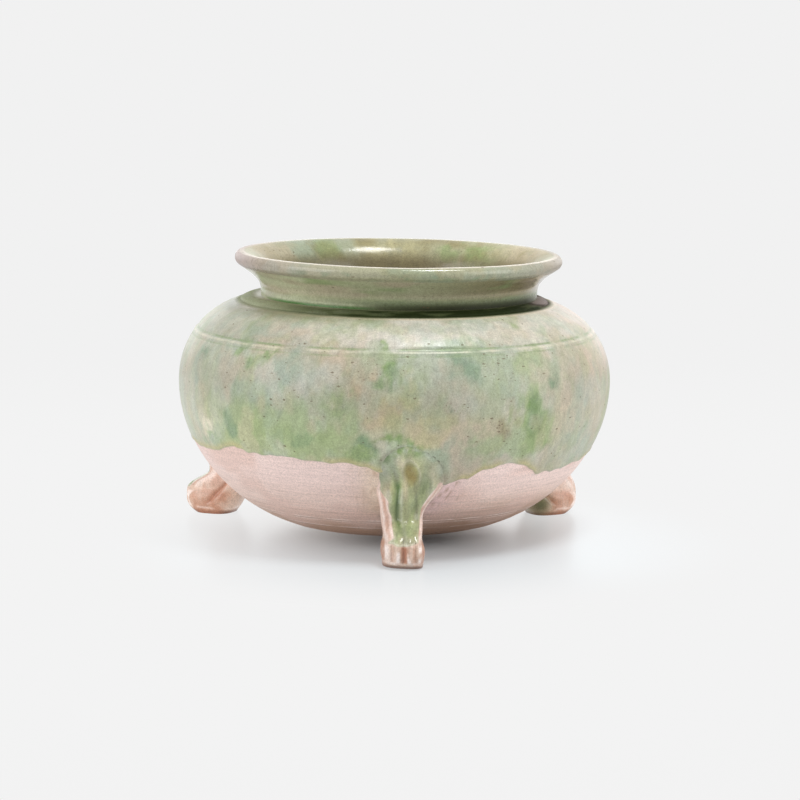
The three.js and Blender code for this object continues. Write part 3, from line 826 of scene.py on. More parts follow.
def collar_piece():
    """The collar's fine surface: faint throwing rings outside, a rolled lip and a smooth inside."""
    line = collar_line()
    rows = np.repeat((np.arange(COLLAR_ROWS) / COLLAR_ROWS * line.length)[:, None], ROUND, 1)
    turn, radius, height, out, up = round_points(line, rows)
    degrees = right_of_front(turn)
    spot = on_drum(radius, turn, height)
    above = ease(SEAT_HEIGHT + 0.5, SEAT_HEIGHT + 3, height)
    inside = ease(0.2, -0.2, out) * (radius < LIP_RADIUS)
    around = np.degrees(np.arctan2(height - LIP_LEVEL, radius - LIP_RADIUS))
    from_roll = np.hypot(height - LIP_LEVEL, radius - LIP_RADIUS) - LIP_ROLL
    on_roll = fade(0.1, 0.9, from_roll)
    rings = RING_RISE * np.sin(height * 2.1 + noise(spot / 25, 31)) * (1 - inside) * (1 - on_roll)
    uneven = COLLAR_UNEVEN[0] * noise(spot / [30, 30, 14], 32)
    lift = (rings + uneven) * above + COLLAR_UNEVEN[1] * noise(spot / 9, 33)
    radius = radius + out * lift
    height = height + up * lift

    lip_end = bump(np.abs(degrees) - 90, 42)
    within = ease(96, 125, around % 360) * (radius < LIP_RADIUS + 1) * ease(0.4, 0.1, out)
    colour = over(neck_glaze(spot, degrees, height), lip_glaze(spot, degrees, around, lip_end), on_roll)
    colour = over(colour, well_glaze(spot, degrees, height), within)
    dull_well = within * (0.15 + 0.6 * fade(120, 160, np.abs(degrees)))
    dull_foot = (1 - within) * neck_shade(degrees) * fade(0.3, 5, height - SEAT_HEIGHT)
    dull = np.maximum(np.maximum(dull_well, 0.8 * on_roll * lip_end), dull_foot)
    places = place_round(radius, height, turn, COLLAR_OFFSET, rows.shape)
    wall = on_drum(COLLAR_WALL, turn, rows.reshape(-1))
    specks = 0.3 * bump(degrees + 120, 12) * inside
    fields = point_fields(colour, 0 * height + 1, wall, specks=specks, dull=dull)
    return grid_mesh("glazed_collar", places, True, fields)


# The legs
TOE_REACH = BELLY_RADIUS + 7.4
SHIN_REACH = BELLY_RADIUS - 2.8
PAW_LENGTH = 22.5
PAW_WIDTH = 17.4
PAW_HEIGHT = 16.5
TOE_LIFT = 5.4
TOE_TIP = 0.4 * PAW_HEIGHT
TOE_COUNT = 4
TOE_GROOVE = 1.2
HEEL_RAKE = 0.6
CREASE_SETBACK = 14.7
CREASE_LEVEL = 5.6
CREASE_SLOPE = 0.9
CREASE_DEPTH = 0.8
CREASE_WIDTH = 1.4
ANKLE_WIDTH = 15.3
SHIN_WIDTH = 16.5
HAUNCH_WIDTH = 29.6
HAUNCH_HEIGHT = 37.0
HAUNCH_RISE = 4.6
LEG_TOP = 48.5
LEG_SINK = 2.6
SINK_START = 20
TOP_SINK = 0.6
SHIN_SHARE = 0.35
TOE_CURVE = 2.5
INSTEP_CURVE = 1.6
HAUNCH_CURVE = 1.6
DOME_CURVE = 2.4
PAW_POWER = 2.7
LEG_POWER = 2.0
TENDON_DEPTHS = (1.1, 0.7)
BOSS_RIM = 0.55
BOSS_SWELL = 0.2
RING_CROWDING = 0.05
SIDE_CROWDING = 0.3
LEG_UNEVEN = (0.22, 0.15)
TENDON_SPACING = 4.3
TENDON_SPREAD = 0.22
BOSS_HEIGHT = 36.3
BOSS_HALF = (3.2, 5.6)

# Each leg's node, azimuth in degrees, extra reach, sideways sway of its haunch, turn of its paw, how far its
# glaze stops short at the sides, how much painted light brightens its clay, and how much olive glaze lies on
# its toes
LEGS = [
    ("leg_front", -87.8, 2.5, 3.6, 0.3, 0.0, 1.0, 0.0),
    ("leg_rear_right", 26.3, -10.8, -1.2, 0.0, 4.0, 1.075, 0.95),
    ("leg_rear_left", 155.0, 1.2, 1.0, 0.0, 1.0, 1.075, 0.0),
]

# How far the slip that lutes a leg on spreads over the bowl, and how thick it lies at the joint
FILLET_SPREAD = 6.0
FILLET_RISE = 1.7

# Steps in which a joint's line is found, the part of the bowl, sideways and in height, where the distance
# from it matters, and the distance given beyond that part
JOINT_LEVELS = 90
JOINT_TURNS = 181
JOINT_REACH = 26
JOINT_SPAN = (8, 60)
FAR = 50.0


def along(pairs, height):
    """A smooth line through a few (height, value) pairs."""
    total = np.full(np.shape(height), float(pairs[0][1]))
    for (low, before), (high, after) in zip(pairs, pairs[1:]):
        total += (after - before) * ease(low, high, height)
    return total


def wall_radius(height):
    """The bowl's outer radius at heights up to the belly."""
    return np.interp(height, lower_wall[:, 1], lower_wall[:, 0])


def dome(height):
    """1 up to the haunch's widest line, then rounding to 0 at the leg's top."""
    part = np.clip((height - HAUNCH_HEIGHT) / (LEG_TOP - HAUNCH_HEIGHT), 0, 1)
    return np.sqrt(np.maximum(1 - part ** DOME_CURVE, 0))


def leg_front_line(height, reach):
    """How far a leg's front stands from the bowl's axis at each height."""
    toe = TOE_REACH + reach
    shin = SHIN_REACH + SHIN_SHARE * reach
    paw = toe - TOE_LIFT * np.clip(1 - height / TOE_TIP, 0, 1) ** TOE_CURVE
    instep = toe + (shin - toe) * ease(PAW_HEIGHT / 2, PAW_HEIGHT + 2, height) ** INSTEP_CURVE
    line = np.where(height < TOE_TIP, paw, instep)
    proud = HAUNCH_RISE * dome(height) ** HAUNCH_CURVE - TOP_SINK * ease(LEG_TOP - 1.5, LEG_TOP, height)
    on_bowl = wall_radius(height) + proud
    return line + (on_bowl - line) * ease(PAW_HEIGHT + 8, HAUNCH_HEIGHT, height)


def leg_inner_line(height, reach):
    """How far a leg's inner side stands from the axis: the heel leans back, then sinks into the bowl."""
    heel = TOE_REACH - PAW_LENGTH + reach + 0.8 * bump(height, 2)
    rake = HEEL_RAKE * np.minimum(height, 0.75 * PAW_HEIGHT)
    return heel - rake - LEG_SINK * ease(PAW_HEIGHT, PAW_HEIGHT + 4, height)


def leg_half_width(height):
    """Half the leg's width at each height: paw, ankle, shin and the haunch's rounded shield."""
    half = along([(0, PAW_WIDTH * 0.46), (TOE_TIP, PAW_WIDTH / 2), (PAW_HEIGHT * 0.7, ANKLE_WIDTH / 2),
                  (PAW_HEIGHT + 0.5, SHIN_WIDTH / 2), (HAUNCH_HEIGHT - 1, HAUNCH_WIDTH / 2)], height)
    return np.maximum(half * dome(height), 0.4)


def on_haunch(height):
    """0 on a paw and 1 on its haunch."""
    return ease(PAW_HEIGHT + 4, PAW_HEIGHT + 9, height)


def leg_sway(height, sway):
    """How far a leg's middle line stands to the side at each height."""
    return along([(PAW_HEIGHT + 1, 0), (HAUNCH_HEIGHT - 3, sway), (LEG_TOP, sway * 0.5)], height)


def tendon_line(height):
    """How far the two hollows beside the leg's middle column stand from its middle."""
    return TENDON_SPACING / 2 + TENDON_SPREAD * (height - PAW_HEIGHT - 2.5)


def toe_crest(across):
    """1 along the middle of each toe and 0 between two toes."""
    return np.abs(np.sin((across / PAW_WIDTH + 0.5) * TOE_COUNT * math.pi))


def from_boss(across, height):
    """0 at the middle of the knee boss and 1 on its rim."""
    return np.hypot(across / BOSS_HALF[0], (height - BOSS_HEIGHT) / BOSS_HALF[1])


def leg_relief(across, height):
    """What the mould raises and sinks on the front of a leg."""
    toes = span(1.6, 4.2, PAW_HEIGHT * 0.62, PAW_HEIGHT * 0.95, height)
    grooves = TOE_GROOVE * toes * (1 - toe_crest(across))
    spread = tendon_line(height)
    on_shin = span(PAW_HEIGHT - 2, PAW_HEIGHT + 3, HAUNCH_HEIGHT, HAUNCH_HEIGHT + 6, height)
    hollows = TENDON_DEPTHS[0] * bump(across + spread, 1.1) + TENDON_DEPTHS[1] * bump(across - spread, 1.2)
    boss = from_boss(across, height)
    return BOSS_RIM * bump(boss - 1, 0.3) + BOSS_SWELL * bump(boss, 0.6) - grooves - hollows * on_shin


def side_crease(out, height):
    """The crease beside the paw, which runs down and forward from the heel towards the toes."""
    line = TOE_REACH - CREASE_SETBACK - CREASE_SLOPE * (height - CREASE_LEVEL)
    on_paw = span(CREASE_LEVEL - 2.2, CREASE_LEVEL + 0.6, PAW_HEIGHT - 2, PAW_HEIGHT + 1, height)
    return CREASE_DEPTH * on_paw * bump(out - line, CREASE_WIDTH)


def leg_section(height, sine, cosine, reach):
    """A leg's plain section at each height: places outward and across."""
    front = leg_front_line(height, reach)
    inner = leg_inner_line(height, reach)
    square = 2 / (PAW_POWER + (LEG_POWER - PAW_POWER) * ease(PAW_HEIGHT - 4, PAW_HEIGHT + 4, height))
    out = (front + inner) / 2 + (front - inner) / 2 * np.sign(cosine) * np.abs(cosine) ** square
    across = leg_half_width(height) * np.sign(sine) * np.abs(sine) ** square
    return out, across


def joint_line(reach, sway):
    """The closed line where a leg comes out of the bowl: sideways places in mm and heights."""
    heights = np.linspace(PAW_HEIGHT, LEG_TOP, JOINT_LEVELS)
    turn = np.linspace(0, math.pi, JOINT_TURNS)
    left = []
    right = []
    for level in heights:
        height = np.full(len(turn), level)
        out, across = leg_section(height, np.sin(turn), np.cos(turn), reach)
        proud = np.hypot(out, across) > wall_radius(height)
        if proud.any():
            widest = across[proud].max()
            middle = float(leg_sway(np.array([level]), sway)[0])
            right.append((middle + widest, level))
            left.append((middle - widest, level))
    return np.array(right + left[::-1])


def luting_slip(gap, height):
    """How thick the slip lies that lutes a leg on, at a distance from its joint."""
    return FILLET_RISE * np.clip(1 - gap / FILLET_SPREAD, 0, 1) ** 2 * on_haunch(height)


def joint_distance(angle, height, azimuth, line):
    """Signed distance over the bowl from a leg's joint line, negative under the leg, in mm."""
    turn = (angle - math.radians(azimuth) + math.pi) % (2 * math.pi) - math.pi
    across = turn * wall_radius(np.minimum(height, BELLY_HEIGHT))
    distance = np.full(len(angle), FAR)
    near = (np.abs(across) < JOINT_REACH) & (height > JOINT_SPAN[0]) & (height < JOINT_SPAN[1])
    spots = np.stack([across[near], height[near]], 1)
    best = np.full(len(spots), FAR ** 2)
    inside = np.zeros(len(spots), bool)
    for a, b in zip(line, np.roll(line, -1, axis=0)):
        d = b - a
        part = np.clip(((spots - a) @ d) / max(float(d @ d), 1e-9), 0, 1)
        gap = spots - a - part[:, None] * d
        best = np.minimum(best, np.einsum("ij,ij->i", gap, gap))
        if a[1] != b[1]:
            level = (spots[:, 1] > a[1]) != (spots[:, 1] > b[1])
            cross = a[0] + (spots[:, 1] - a[1]) / (b[1] - a[1]) * d[0]
            inside ^= level & (spots[:, 0] < cross)
    distance[near] = np.sqrt(best) * np.where(inside, -1, 1)
    return distance


JOINTS = {node: joint_line(reach, sway) for node, _, reach, sway, *_ in LEGS}


def nearest_joint(angle, height):
    """The signed distance over the bowl from the nearest leg's joint line."""
    gaps = [joint_distance(angle, height, azimuth, JOINTS[node]) for node, azimuth, *_ in LEGS]
    return np.min(gaps, axis=0)


# Where the glaze lies on a leg: its left and right borders by height, and where it ends over the toes
GLAZE_LEFT = [(10.3, -5.9), (12.7, -3.5), (18.3, -3.9), (24.3, -7.2), (30.3, -11.4), (39, -13.6)]
GLAZE_RIGHT = [(12.7, 5.8), (20.3, 6.7), (26.3, 7.9), (31.5, 10.4), (34, 13), (40, 17)]
GLAZE_END = 9.9
END_CURVE = 0.022

# Clouds in a leg's glaze, in the same form as the bowl's
LEG_CLOUDS = [
    ("haze", 0.4, 0, 0.3, 6, 101), ("gold", 0.45, 0, 0.3, 5, 102),
    ("moss", 0.8, -0.02, 0.3, 8, 104), ("warm", 0.6, 0.05, 0.3, 7, 107),
]

# Uneven patches on a haunch: tone, strength, mm beside its middle, height, and the two half widths in mm
HAUNCH_PATCHES = [
    ("warm", 0.9, -4, 42, 2.5, 4), ("warm", 0.8, 9.5, 38, 3, 5), ("pine", 0.7, -10, 40, 2, 4),
]

# Clouds in a leg's clay, and its strips beside the glaze, painted highlights with painted shade between them:
# tone, strength, mm in from the side, and half width
CLAY_CLOUDS = [("paw_pale_and_highlight", 0.5, 0, 0.3, 7, 121), ("red_clay_and_shade", 0.3, 0.02, 0.3, 5, 124)]
CLAY_STRIPS = [("paw_pale_and_highlight", 0.7, 0.9, 0.5), ("red_clay_and_shade", 0.25, 2.1, 0.7), ("paw_pale_and_highlight", 0.7, 3.4, 0.6)]


def leg_glaze(spot, beside, height, seed):
    """The glaze on a leg: olive sage, pooled green in the hollows, with a soft ochre boss and a painted
    highlight on its rim.
    """
    drawn = spot / [1, 1, 2.2]
    colour = cloudy(plain("leg_sage", spot), drawn, LEG_CLOUDS, seed)
    hollow = tendon_line(height) + 0.12 * np.maximum(height - BOSS_HEIGHT, 0)
    left = beside + hollow
    right = beside - hollow
    uneven = 0.75 + 0.5 * clouds(spot, 4, 111)
    colour = blend(colour, "leaf", 0.95 * bump(left + 0.4, 2.0) * uneven * ease(15, 22, height))
    cut = bump(left, 0.8) * span(13.5, 17, 30, 36, height)
    colour = layered(colour, [
        ("deep", cut * (0.9 + 0.8 * clouds(drawn, 2.5, 114))),
        ("leaf", 0.8 * bump(right - 1, 0.8) * bump(height - 20, 5) * uneven),
        ("pine", 0.6 * bump(left, 1.4) * ease(33, 38, height)),
        ("leaf", 0.7 * patch(beside, height, 6, 32.3, 1.9, 3.6) * uneven),
        ("moss", 0.6 * bump(right, 1.5) * ease(18, 24, height)),
        ("haze", 0.6 * bump(left - 1.7, 0.7) * fade(26, 31, height) * uneven),
    ])
    for tone, strength, *place in HAUNCH_PATCHES:
        colour = blend(colour, tone, strength * patch(beside, height, *place) * uneven)
    colour = blend(colour, "leg_sage", 0.4 * fade(18, 30, height))
    light = (1 + 0.3 * clouds(spot / [2, 1, 6], 1.8, 115, 2)) * (1 - 0.06 * fade(24, 34, height))
    colour = colour * light[:, None]
    boss = from_boss(beside + 0.1, height)
    # A painted highlight on the boss's rim, towards its upper right
    painted_highlight_side = ease(-0.9, 0.6, (beside + height - BOSS_HEIGHT) / 4)
    return layered(colour, [
        ("cream", 0.4 * bump(boss - 1.12, 0.16) * painted_highlight_side),
        ("ochre", fade(0.4, 1.1, boss) * (0.75 + 0.6 * clouds(spot, 3.5, 117))),
        ("boss_brown", 0.3 * fade(0.3, 0.9, boss) * ease(-0.1, 0.25, clouds(spot, 2.4, 118))),
    ])


def leg_clay(spot, beside, out, height, cosine, seed):
    """Bare clay on a leg: strips rounded by painted highlight and shade, reddish toes with painted highlights
    on the crests.
    """
    clay = blend(plain("leg_clay", spot), "paw_clay", fade(9, 16, height))
    clay = cloudy(clay, spot / [1, 1, 1.8], CLAY_CLOUDS, seed)
    # Painted contact shadow along the paw's foot
    clay = blend(clay, "paw_contact_shadow", 0.85 * fade(0.6, 2.2, height))
    strip = span(10, 13, 27, 33, height) * ease(0.0, 0.4, cosine)
    ragged = leg_half_width(height) - np.abs(beside) + 0.8 * clouds(spot / [1, 1, 2], 3, 129)
    for tone, strength, depth, half in CLAY_STRIPS:
        clay = blend(clay, tone, strength * bump(ragged - depth, half) * strip)
    crest = toe_crest(beside)
    toes = span(2.2, 3.6, 8.6, 10.4, height) * ease(0.1, 0.6, cosine)
    mixed = ease(-0.5, 0.4, clouds(spot / [1, 1, 1.6], 2.6, 126))
    shaded_flanks = ease(5.5, 8, np.abs(beside)) * fade(9, 12, height)
    # Reddish clay deepened by painted shade in the toes' valleys, painted highlights on their crests, and
    # painted shade on the paw's flanks and in its side crease
    return layered(clay, [
        ("red_clay_and_shade", 0.4 * toes * fade(0.2, 0.9, crest) * (0.3 + 0.7 * mixed)),
        ("red_clay_and_shade", 0.9 * toes * bump(beside - 0.4, 1.5) * (0.6 + 0.4 * mixed)),
        ("red_clay_and_shade", 0.6 * shaded_flanks * (0.4 + 0.6 * mixed)),
        ("paw_pale_and_highlight", toes * ease(0.8, 0.95, crest) * ease(-0.4, 0.1, noise(spot / 3, 127))),
        ("paw_pale_and_highlight", 0.5 * bump(height - 2.6, 0.5) * ease(-0.2, 0.3, noise(spot / 4, 128))),
        ("red_clay_and_shade", 0.9 * side_crease(out, height) * fade(0.35, 0.8, np.abs(cosine))),
    ])


def leg_form(height, sine, cosine, reach, sway, paw_turn, seed):
    """A leg as it came from the mould: places outward and across, and the even places its texture follows."""
    out, across = leg_section(height, sine, cosine, reach)
    out = out + leg_relief(across, height) * ease(0.05, 0.5, cosine)
    across = across - np.sign(sine) * side_crease(out - reach, height) * ease(0.3, 0.8, np.abs(sine))
    out = out + paw_turn * across * fade(PAW_HEIGHT, PAW_HEIGHT + 6, height)
    across = across + leg_sway(height, sway)
    spot = np.stack([out, across, height], 1)
    out = out + LEG_UNEVEN[0] * noise(spot / 6, 41 + seed) * ease(0, 4, height)
    across = across + LEG_UNEVEN[1] * noise(spot / 5, 47 + seed)
    return out, across, spot


def luted(out, across, height):
    """A leg's places once slip fills the corner at the bowl and those too deep in it are drawn back.

    The third value is how far each place stood off the bowl's wall before.
    """
    reach_out = np.hypot(out, across)
    stand = reach_out - wall_radius(height)
    sunk = wall_radius(height) - LEG_SINK
    too_deep = (reach_out < sunk) & (height > SINK_START)
    pull = np.where(too_deep, sunk, reach_out + luting_slip(stand, height)) / np.maximum(reach_out, 1)
    return out * pull, across * pull, stand


def inside_border(spot, beside, height, short, seed):
    """How far inside the border of a leg's own glaze a point lies, in mm."""
    fray = 0.7 * noise(np.stack([0 * height, 0 * height + seed, height], 1) / 4, 51)
    from_left = beside - along(GLAZE_LEFT, height) + fray - short
    from_right = along(GLAZE_RIGHT, height) - beside + fray - short
    from_end = height - GLAZE_END - END_CURVE * beside ** 2 - 0.6 * noise(spot / 3.2, 52)
    return np.minimum(np.minimum(from_left, from_right), from_end)


def leg_seam(spot, beside, height, gap, seed):
    """Where the luting has cracked open at a leg's joint."""
    cracked = np.maximum(bump(beside + 8.5, 6), bump(beside - 12, 4.5)) * ease(37, 40, height)
    cracked = np.maximum(cracked, 0.6 * ease(0.05, 0.4, noise(spot / 6, 61 + seed)))
    return bump(gap, 0.34) * on_haunch(height) * cracked


def leg_piece(node, azimuth, reach, sway, paw_turn, short, clay_painted_light, olive):
    """One leg, its inner side kept just within the bowl's wall."""
    level = np.linspace(0, 1, LEG_RINGS)
    level = LEG_TOP * (level - RING_CROWDING * np.sin(2 * math.pi * level))
    even = np.arange(LEG_SIDES) / LEG_SIDES * 2 * math.pi
    height, turn = np.meshgrid(level, even - SIDE_CROWDING * np.sin(even), indexing="ij")
    shape = height.shape
    height = height.reshape(-1)
    cosine = np.cos(turn.reshape(-1))
    seed = len(node)
    out, across, spot = leg_form(height, np.sin(turn.reshape(-1)), cosine, reach, sway, paw_turn, seed)
    out, across, stand = luted(out, across, height)
    angle = math.radians(azimuth)
    x = out * math.cos(angle) - across * math.sin(angle)
    y = out * math.sin(angle) + across * math.cos(angle)
    places = np.stack([x + AXIS[0], y + AXIS[1], height], 1).reshape(*shape, 3)
    poles = np.array([places[0].mean(0), places[-1].mean(0)])

    # Near the joint the glaze on the leg is the bowl's own
    around = np.arctan2(y, x)
    degrees = right_of_front(around)
    merged = fade(1.6, 5.2, stand) * ease(PAW_HEIGHT + 10, PAW_HEIGHT + 14, height)
    bowl_glazed = ease(-0.3, 0.3, height - glaze_edge(degrees))
    beside = across - leg_sway(height, sway)
    border = inside_border(spot, beside, height, short, seed)
    glazed = np.maximum(ease(-0.25, 0.25, border) * ease(0.0, 0.25, cosine), merged * bowl_glazed)
    colour = leg_glaze(spot, beside, height, seed)
    colour = blend(colour, "cream", bump(border - 0.4, 0.5) * (0.15 + 0.5 * fade(11, 16, height)))
    colour = over(colour, bowl_glaze(np.stack([x, y, height], 1), degrees, height), merged)
    arc = ease(42.5, 45.5, height) * span(-11, -7, 3, 8, beside)
    colour = blend(colour, "leaf", 0.75 * arc * ease(-0.3, 0.2, clouds(spot, 3, 53)))
    # Painted shade on the haunch's top near the joint
    colour = colour * (1 - 0.12 * fade(0.3, 2.6, stand) * ease(30, 36, height))[:, None]
    colour = blend(colour, "deep", 0.6 * patch(beside, height, -9, 43.5, 2.4, 2.6))
    # The clay brightened by each leg's painted light
    clay = leg_clay(spot, beside, out - reach, height, cosine, seed) * clay_painted_light
    tone = over(clay, colour, glazed)
    tone = blend(tone, "olive", olive * patch(out - reach, height, 77, 5, 4.5, 5))

    seam = leg_seam(spot, beside, height, joint_distance(around, height, azimuth, JOINTS[node]), seed)
    fields = point_fields(
        tone, glazed, spot, specks=0.5 * seam, shine=fade(13, 22, height), seam=seam, dull=0.5 * merged)
    return grid_mesh("clay_" + node, places, False, fields, poles)


# Nearly all of a noise texture's values lie between these two
NOISE_RANGE = (0.3, 0.7)


class Value:
    """A number in a node tree: sums and products with it become nodes."""

    def __init__(self, nodes, socket):
        self.nodes = nodes
        self.socket = socket

    def __add__(self, other):
        return self.nodes.math("ADD", self, other)

    def __sub__(self, other):
        return self.nodes.math("SUBTRACT", self, other)

    def __rsub__(self, other):
        return self.nodes.math("SUBTRACT", other, self)

    def __mul__(self, other):
        return self.nodes.math("MULTIPLY", self, other)


class Nodes:
    """A short way to build the node tree of a material or a world."""

    def __init__(self, owner):
        owner.use_nodes = True
        self.owner = owner
        self.tree = owner.node_tree

    def set(self, socket, value):
        """Link a value into a socket, or give the socket a constant."""
        value = getattr(value, "socket", value)
        if isinstance(value, bpy.types.NodeSocket):
            self.tree.links.new(value, socket)
        else:
            socket.default_value = value

    def add(self, kind, inputs, **settings):
        """A new node with its settings and its inputs."""
        node = self.tree.nodes.new(kind)
        for key, value in settings.items():
            setattr(node, key, value)
        for key, value in inputs.items():
            self.set(node.inputs[key], value)
        return node

    def finish(self, name, inputs):
        """Set inputs of a node that is in the tree already."""
        for key, value in inputs.items():
            self.set(self.tree.nodes[name].inputs[key], value)

    def math(self, operation, a, b=0.0, clamp=False):
        node = self.add("ShaderNodeMath", {0: a, 1: b}, operation=operation, use_clamp=clamp)
        return Value(self, node.outputs[0])

    def place(self):
        """The place on the object, in metres."""
        return self.add("ShaderNodeTexCoord", {}).outputs["Object"]

    def attribute(self, name, kind):
        """A colour, a vector or a number that the mesh's points carry."""
        return self.add("ShaderNodeAttribute", {}, attribute_name=name).outputs[kind]

    def field(self, name):
        """A number that the mesh's points carry, for sums and products."""
        return Value(self, self.attribute(name, "Fac"))

    def mix(self, amount, a, b, way="MIX"):
        """Two colours mixed; sockets 6 and 7 are the node's colours."""
        inputs = {"Factor": amount, 6: a, 7: b}
        return self.add("ShaderNodeMix", inputs, data_type="RGBA", blend_type=way).outputs[2]

    def grey(self, value):
        return self.add("ShaderNodeCombineColor", {0: value, 1: value, 2: value}).outputs[0]

    def noise(self, place, scale, detail, rough=0.5):
        inputs = {"Vector": place, "Scale": scale, "Detail": detail, "Roughness": rough}
        return Value(self, self.add("ShaderNodeTexNoise", inputs).outputs["Fac"])

    def stretched(self, place, scale):
        """Places scaled apart along each axis, so that a texture there is drawn out."""
        return self.add("ShaderNodeMapping", {"Vector": place, "Scale": scale}).outputs["Vector"]

    def step(self, value, start, end, low=0.0, high=1.0):
        """A smooth step from low to high between two values."""
        inputs = {"Value": value, "From Min": start, "From Max": end, "To Min": low, "To Max": high}
        ramp = self.add("ShaderNodeMapRange", inputs, interpolation_type="SMOOTHSTEP")
        return Value(self, ramp.outputs["Result"])

    def swing(self, value, amount):
        """Noise as a swing about 0 by up to an amount."""
        return self.step(value, *NOISE_RANGE, -amount, amount)


def flat(red, green, blue):
    """A colour as the eye reads it, 0 to 255, for a shader's socket."""
    return (*linear((red, green, blue)).tolist(), 1.0)


GREEN_LINE = flat(122, 140, 98)
CREAM_LINE = flat(220, 212, 190)
TOOLED_CLAY = flat(240, 224, 216)
CLAY_SHADOW = flat(150, 112, 94)
SPECK = flat(96, 80, 54)
SEAM_DARK = flat(66, 62, 46)

# Level lines on the bowl: height, half height and strength
GREEN_LINES = [(85.0, 0.6, 0.7), (82.4, 0.5, 0.4)]
CREAM_LINES = [(83.8, 0.55, 0.35)]
PALE_LINES = [(13.3, 0.35, 0.75), (12.2, 0.3, 0.6), (9.1, 0.3, 0.6), (18.4, 0.3, 0.3), (21.5, 0.3, 0.25)]
DARK_LINES = [(12.75, 0.3, 0.5), (8.6, 0.3, 0.4), (16.6, 0.4, 0.25), (25.0, 0.4, 0.2)]

# The fine texture's noises: how many of their forms go into a metre, octaves and roughness
BREAKS = (75, 3, 0.6)
PIT_ZONES = (48, 3, 0.6)
MOTTLE = (420, 3, 0.6)
RUNS = (800, 3, 0.6)
GRAIN = (1150, 3, 0.65)
TOOLING = (1300, 2, 0.6)
FINEST = (2300, 2, 0.6)
PIT_EDGES = (2600, 2)

# Dark pits in the glaze: spacing in metres, and the largest size as part of it
PITS = [(0.0019, 0.2), (0.0012, 0.22)]
RELIEF_DEPTH = 0.0002


def ruled(n, colour, broken, lines, tone, where):
    """Draw level lines in one tone, broken up along their length."""
    for height, half, strength in lines:
        away = n.math("ABSOLUTE", n.field("level") - height)
        drawn = n.step(away, half * 0.3, half, strength, 0) * broken
        colour = n.mix(drawn * where, colour, tone)
    return colour


def pits(n, place, spacing, most):
    """Small dark spots, one at most in each cell, mostly in the clusters."""
    inputs = {"Vector": n.stretched(place, (0.7, 0.7, 1.3)), "Scale": 1 / spacing, "Randomness": 1.0}
    cells = n.add("ShaderNodeTexVoronoi", inputs, feature="F1")
    pick = n.add("ShaderNodeSeparateColor", {0: cells.outputs["Color"]})
    zone = n.step(n.noise(place, *PIT_ZONES), 0.5, 0.7, 0.02, 0.16)
    chosen = n.math("LESS_THAN", pick.outputs[0], zone + n.field("specks"))
    size = n.step(pick.outputs[1], 0, 1, 0, most)
    ragged = n.swing(n.noise(place, *PIT_EDGES), 0.1) + cells.outputs["Distance"]
    return chosen * (1 - n.step(ragged - size, 0.0, 0.09))


def pottery(name, least_rough, most_rough, strength, thrown):
    """Glaze over bare clay: the points carry the colours, and the shader adds the fine texture and gloss.

    strength is that of the fine relief. Thrown clay has level tool marks, and lines drawn round it.
    """
    n = Nodes(bpy.data.materials.new(name))
    place = n.place()
    glazed = n.field("glazed")
    bare = 1.0 - glazed
    dull = n.field("dull")
    seam = n.field("seam")
    mottle = n.noise(place, *MOTTLE)
    grain = n.noise(place, *GRAIN)
    runs = n.noise(n.stretched(n.attribute("wall", "Vector"), (1, 1, 0.25)), *RUNS)
    tooling = n.noise(n.stretched(place, (0.05, 0.05, 1)), *TOOLING)

    colour = n.attribute("tone", "Color")
    if thrown:
        broken = n.step(n.noise(n.stretched(place, (1, 1, 0.2)), *BREAKS), 0.38, 0.56, 0.1, 1)
        for lines, tone, where in ((GREEN_LINES, GREEN_LINE, glazed), (CREAM_LINES, CREAM_LINE, glazed),
                                   (PALE_LINES, TOOLED_CLAY, bare), (DARK_LINES, CLAY_SHADOW, bare)):
            colour = ruled(n, colour, broken, lines, tone, where)
    on_clay = n.swing(tooling, 0.06) if thrown else n.swing(mottle, 0.05)
    on_glaze = n.swing(runs, 0.04) + n.swing(mottle, 0.055)
    light = on_glaze * glazed + on_clay * bare + n.swing(grain, 0.09) + n.swing(n.noise(place, *FINEST), 0.09)
    colour = n.mix(1.0, colour, n.grey(light + 1.0), "MULTIPLY")
    dark = n.math("MAXIMUM", *(pits(n, place, *layer) for layer in PITS)) * (glazed * 0.6 + 0.1)
    colour = n.mix(dark, colour, SPECK)
    colour = n.mix(seam * 0.9, colour, SEAM_DARK)

    gloss = n.step(mottle, *NOISE_RANGE, least_rough, most_rough) + dull * 0.3
    rough = glazed * gloss + bare * (0.55 - n.field("shine") * 0.3)
    skin = runs * 1.3 + mottle * 0.25
    relief = (tooling + grain * 0.5) * bare + skin * glazed - dark * 0.6 - seam * 0.8
    raised = n.add("ShaderNodeBump", {"Strength": strength, "Distance": RELIEF_DEPTH, "Height": relief})
    n.finish("Principled BSDF", {
        "Base Color": colour,
        "Roughness": n.math("ADD", rough, dark * 0.3, True),
        "Normal": raised.outputs["Normal"],
        "IOR": 1.5,
        "Specular IOR Level": n.math("SUBTRACT", 0.5, dull * 0.35, True),
    })
    return n.owner


# The finishes: least and greatest roughness of the glaze, strength of the fine relief, and whether thrown
bowl_finish = pottery("green_glaze_over_clay", 0.3, 0.42, 0.5, True)
collar_finish = pottery("olive_glaze", 0.1, 0.2, 0.18, False)
leg_finish = pottery("leg_glaze_and_clay", 0.16, 0.28, 0.3, False)

bowl = bowl_piece()
bowl.data.materials.append(bowl_finish)
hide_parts("bowl")
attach(bowl, "root")

collar = collar_piece()
collar.data.materials.append(collar_finish)
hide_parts("neck_collar")
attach(collar, "root")

for node, *form in LEGS:
    leg = leg_piece(node, *form)
    leg.data.materials.append(leg_finish)
    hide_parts(node)
    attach(leg, "root")

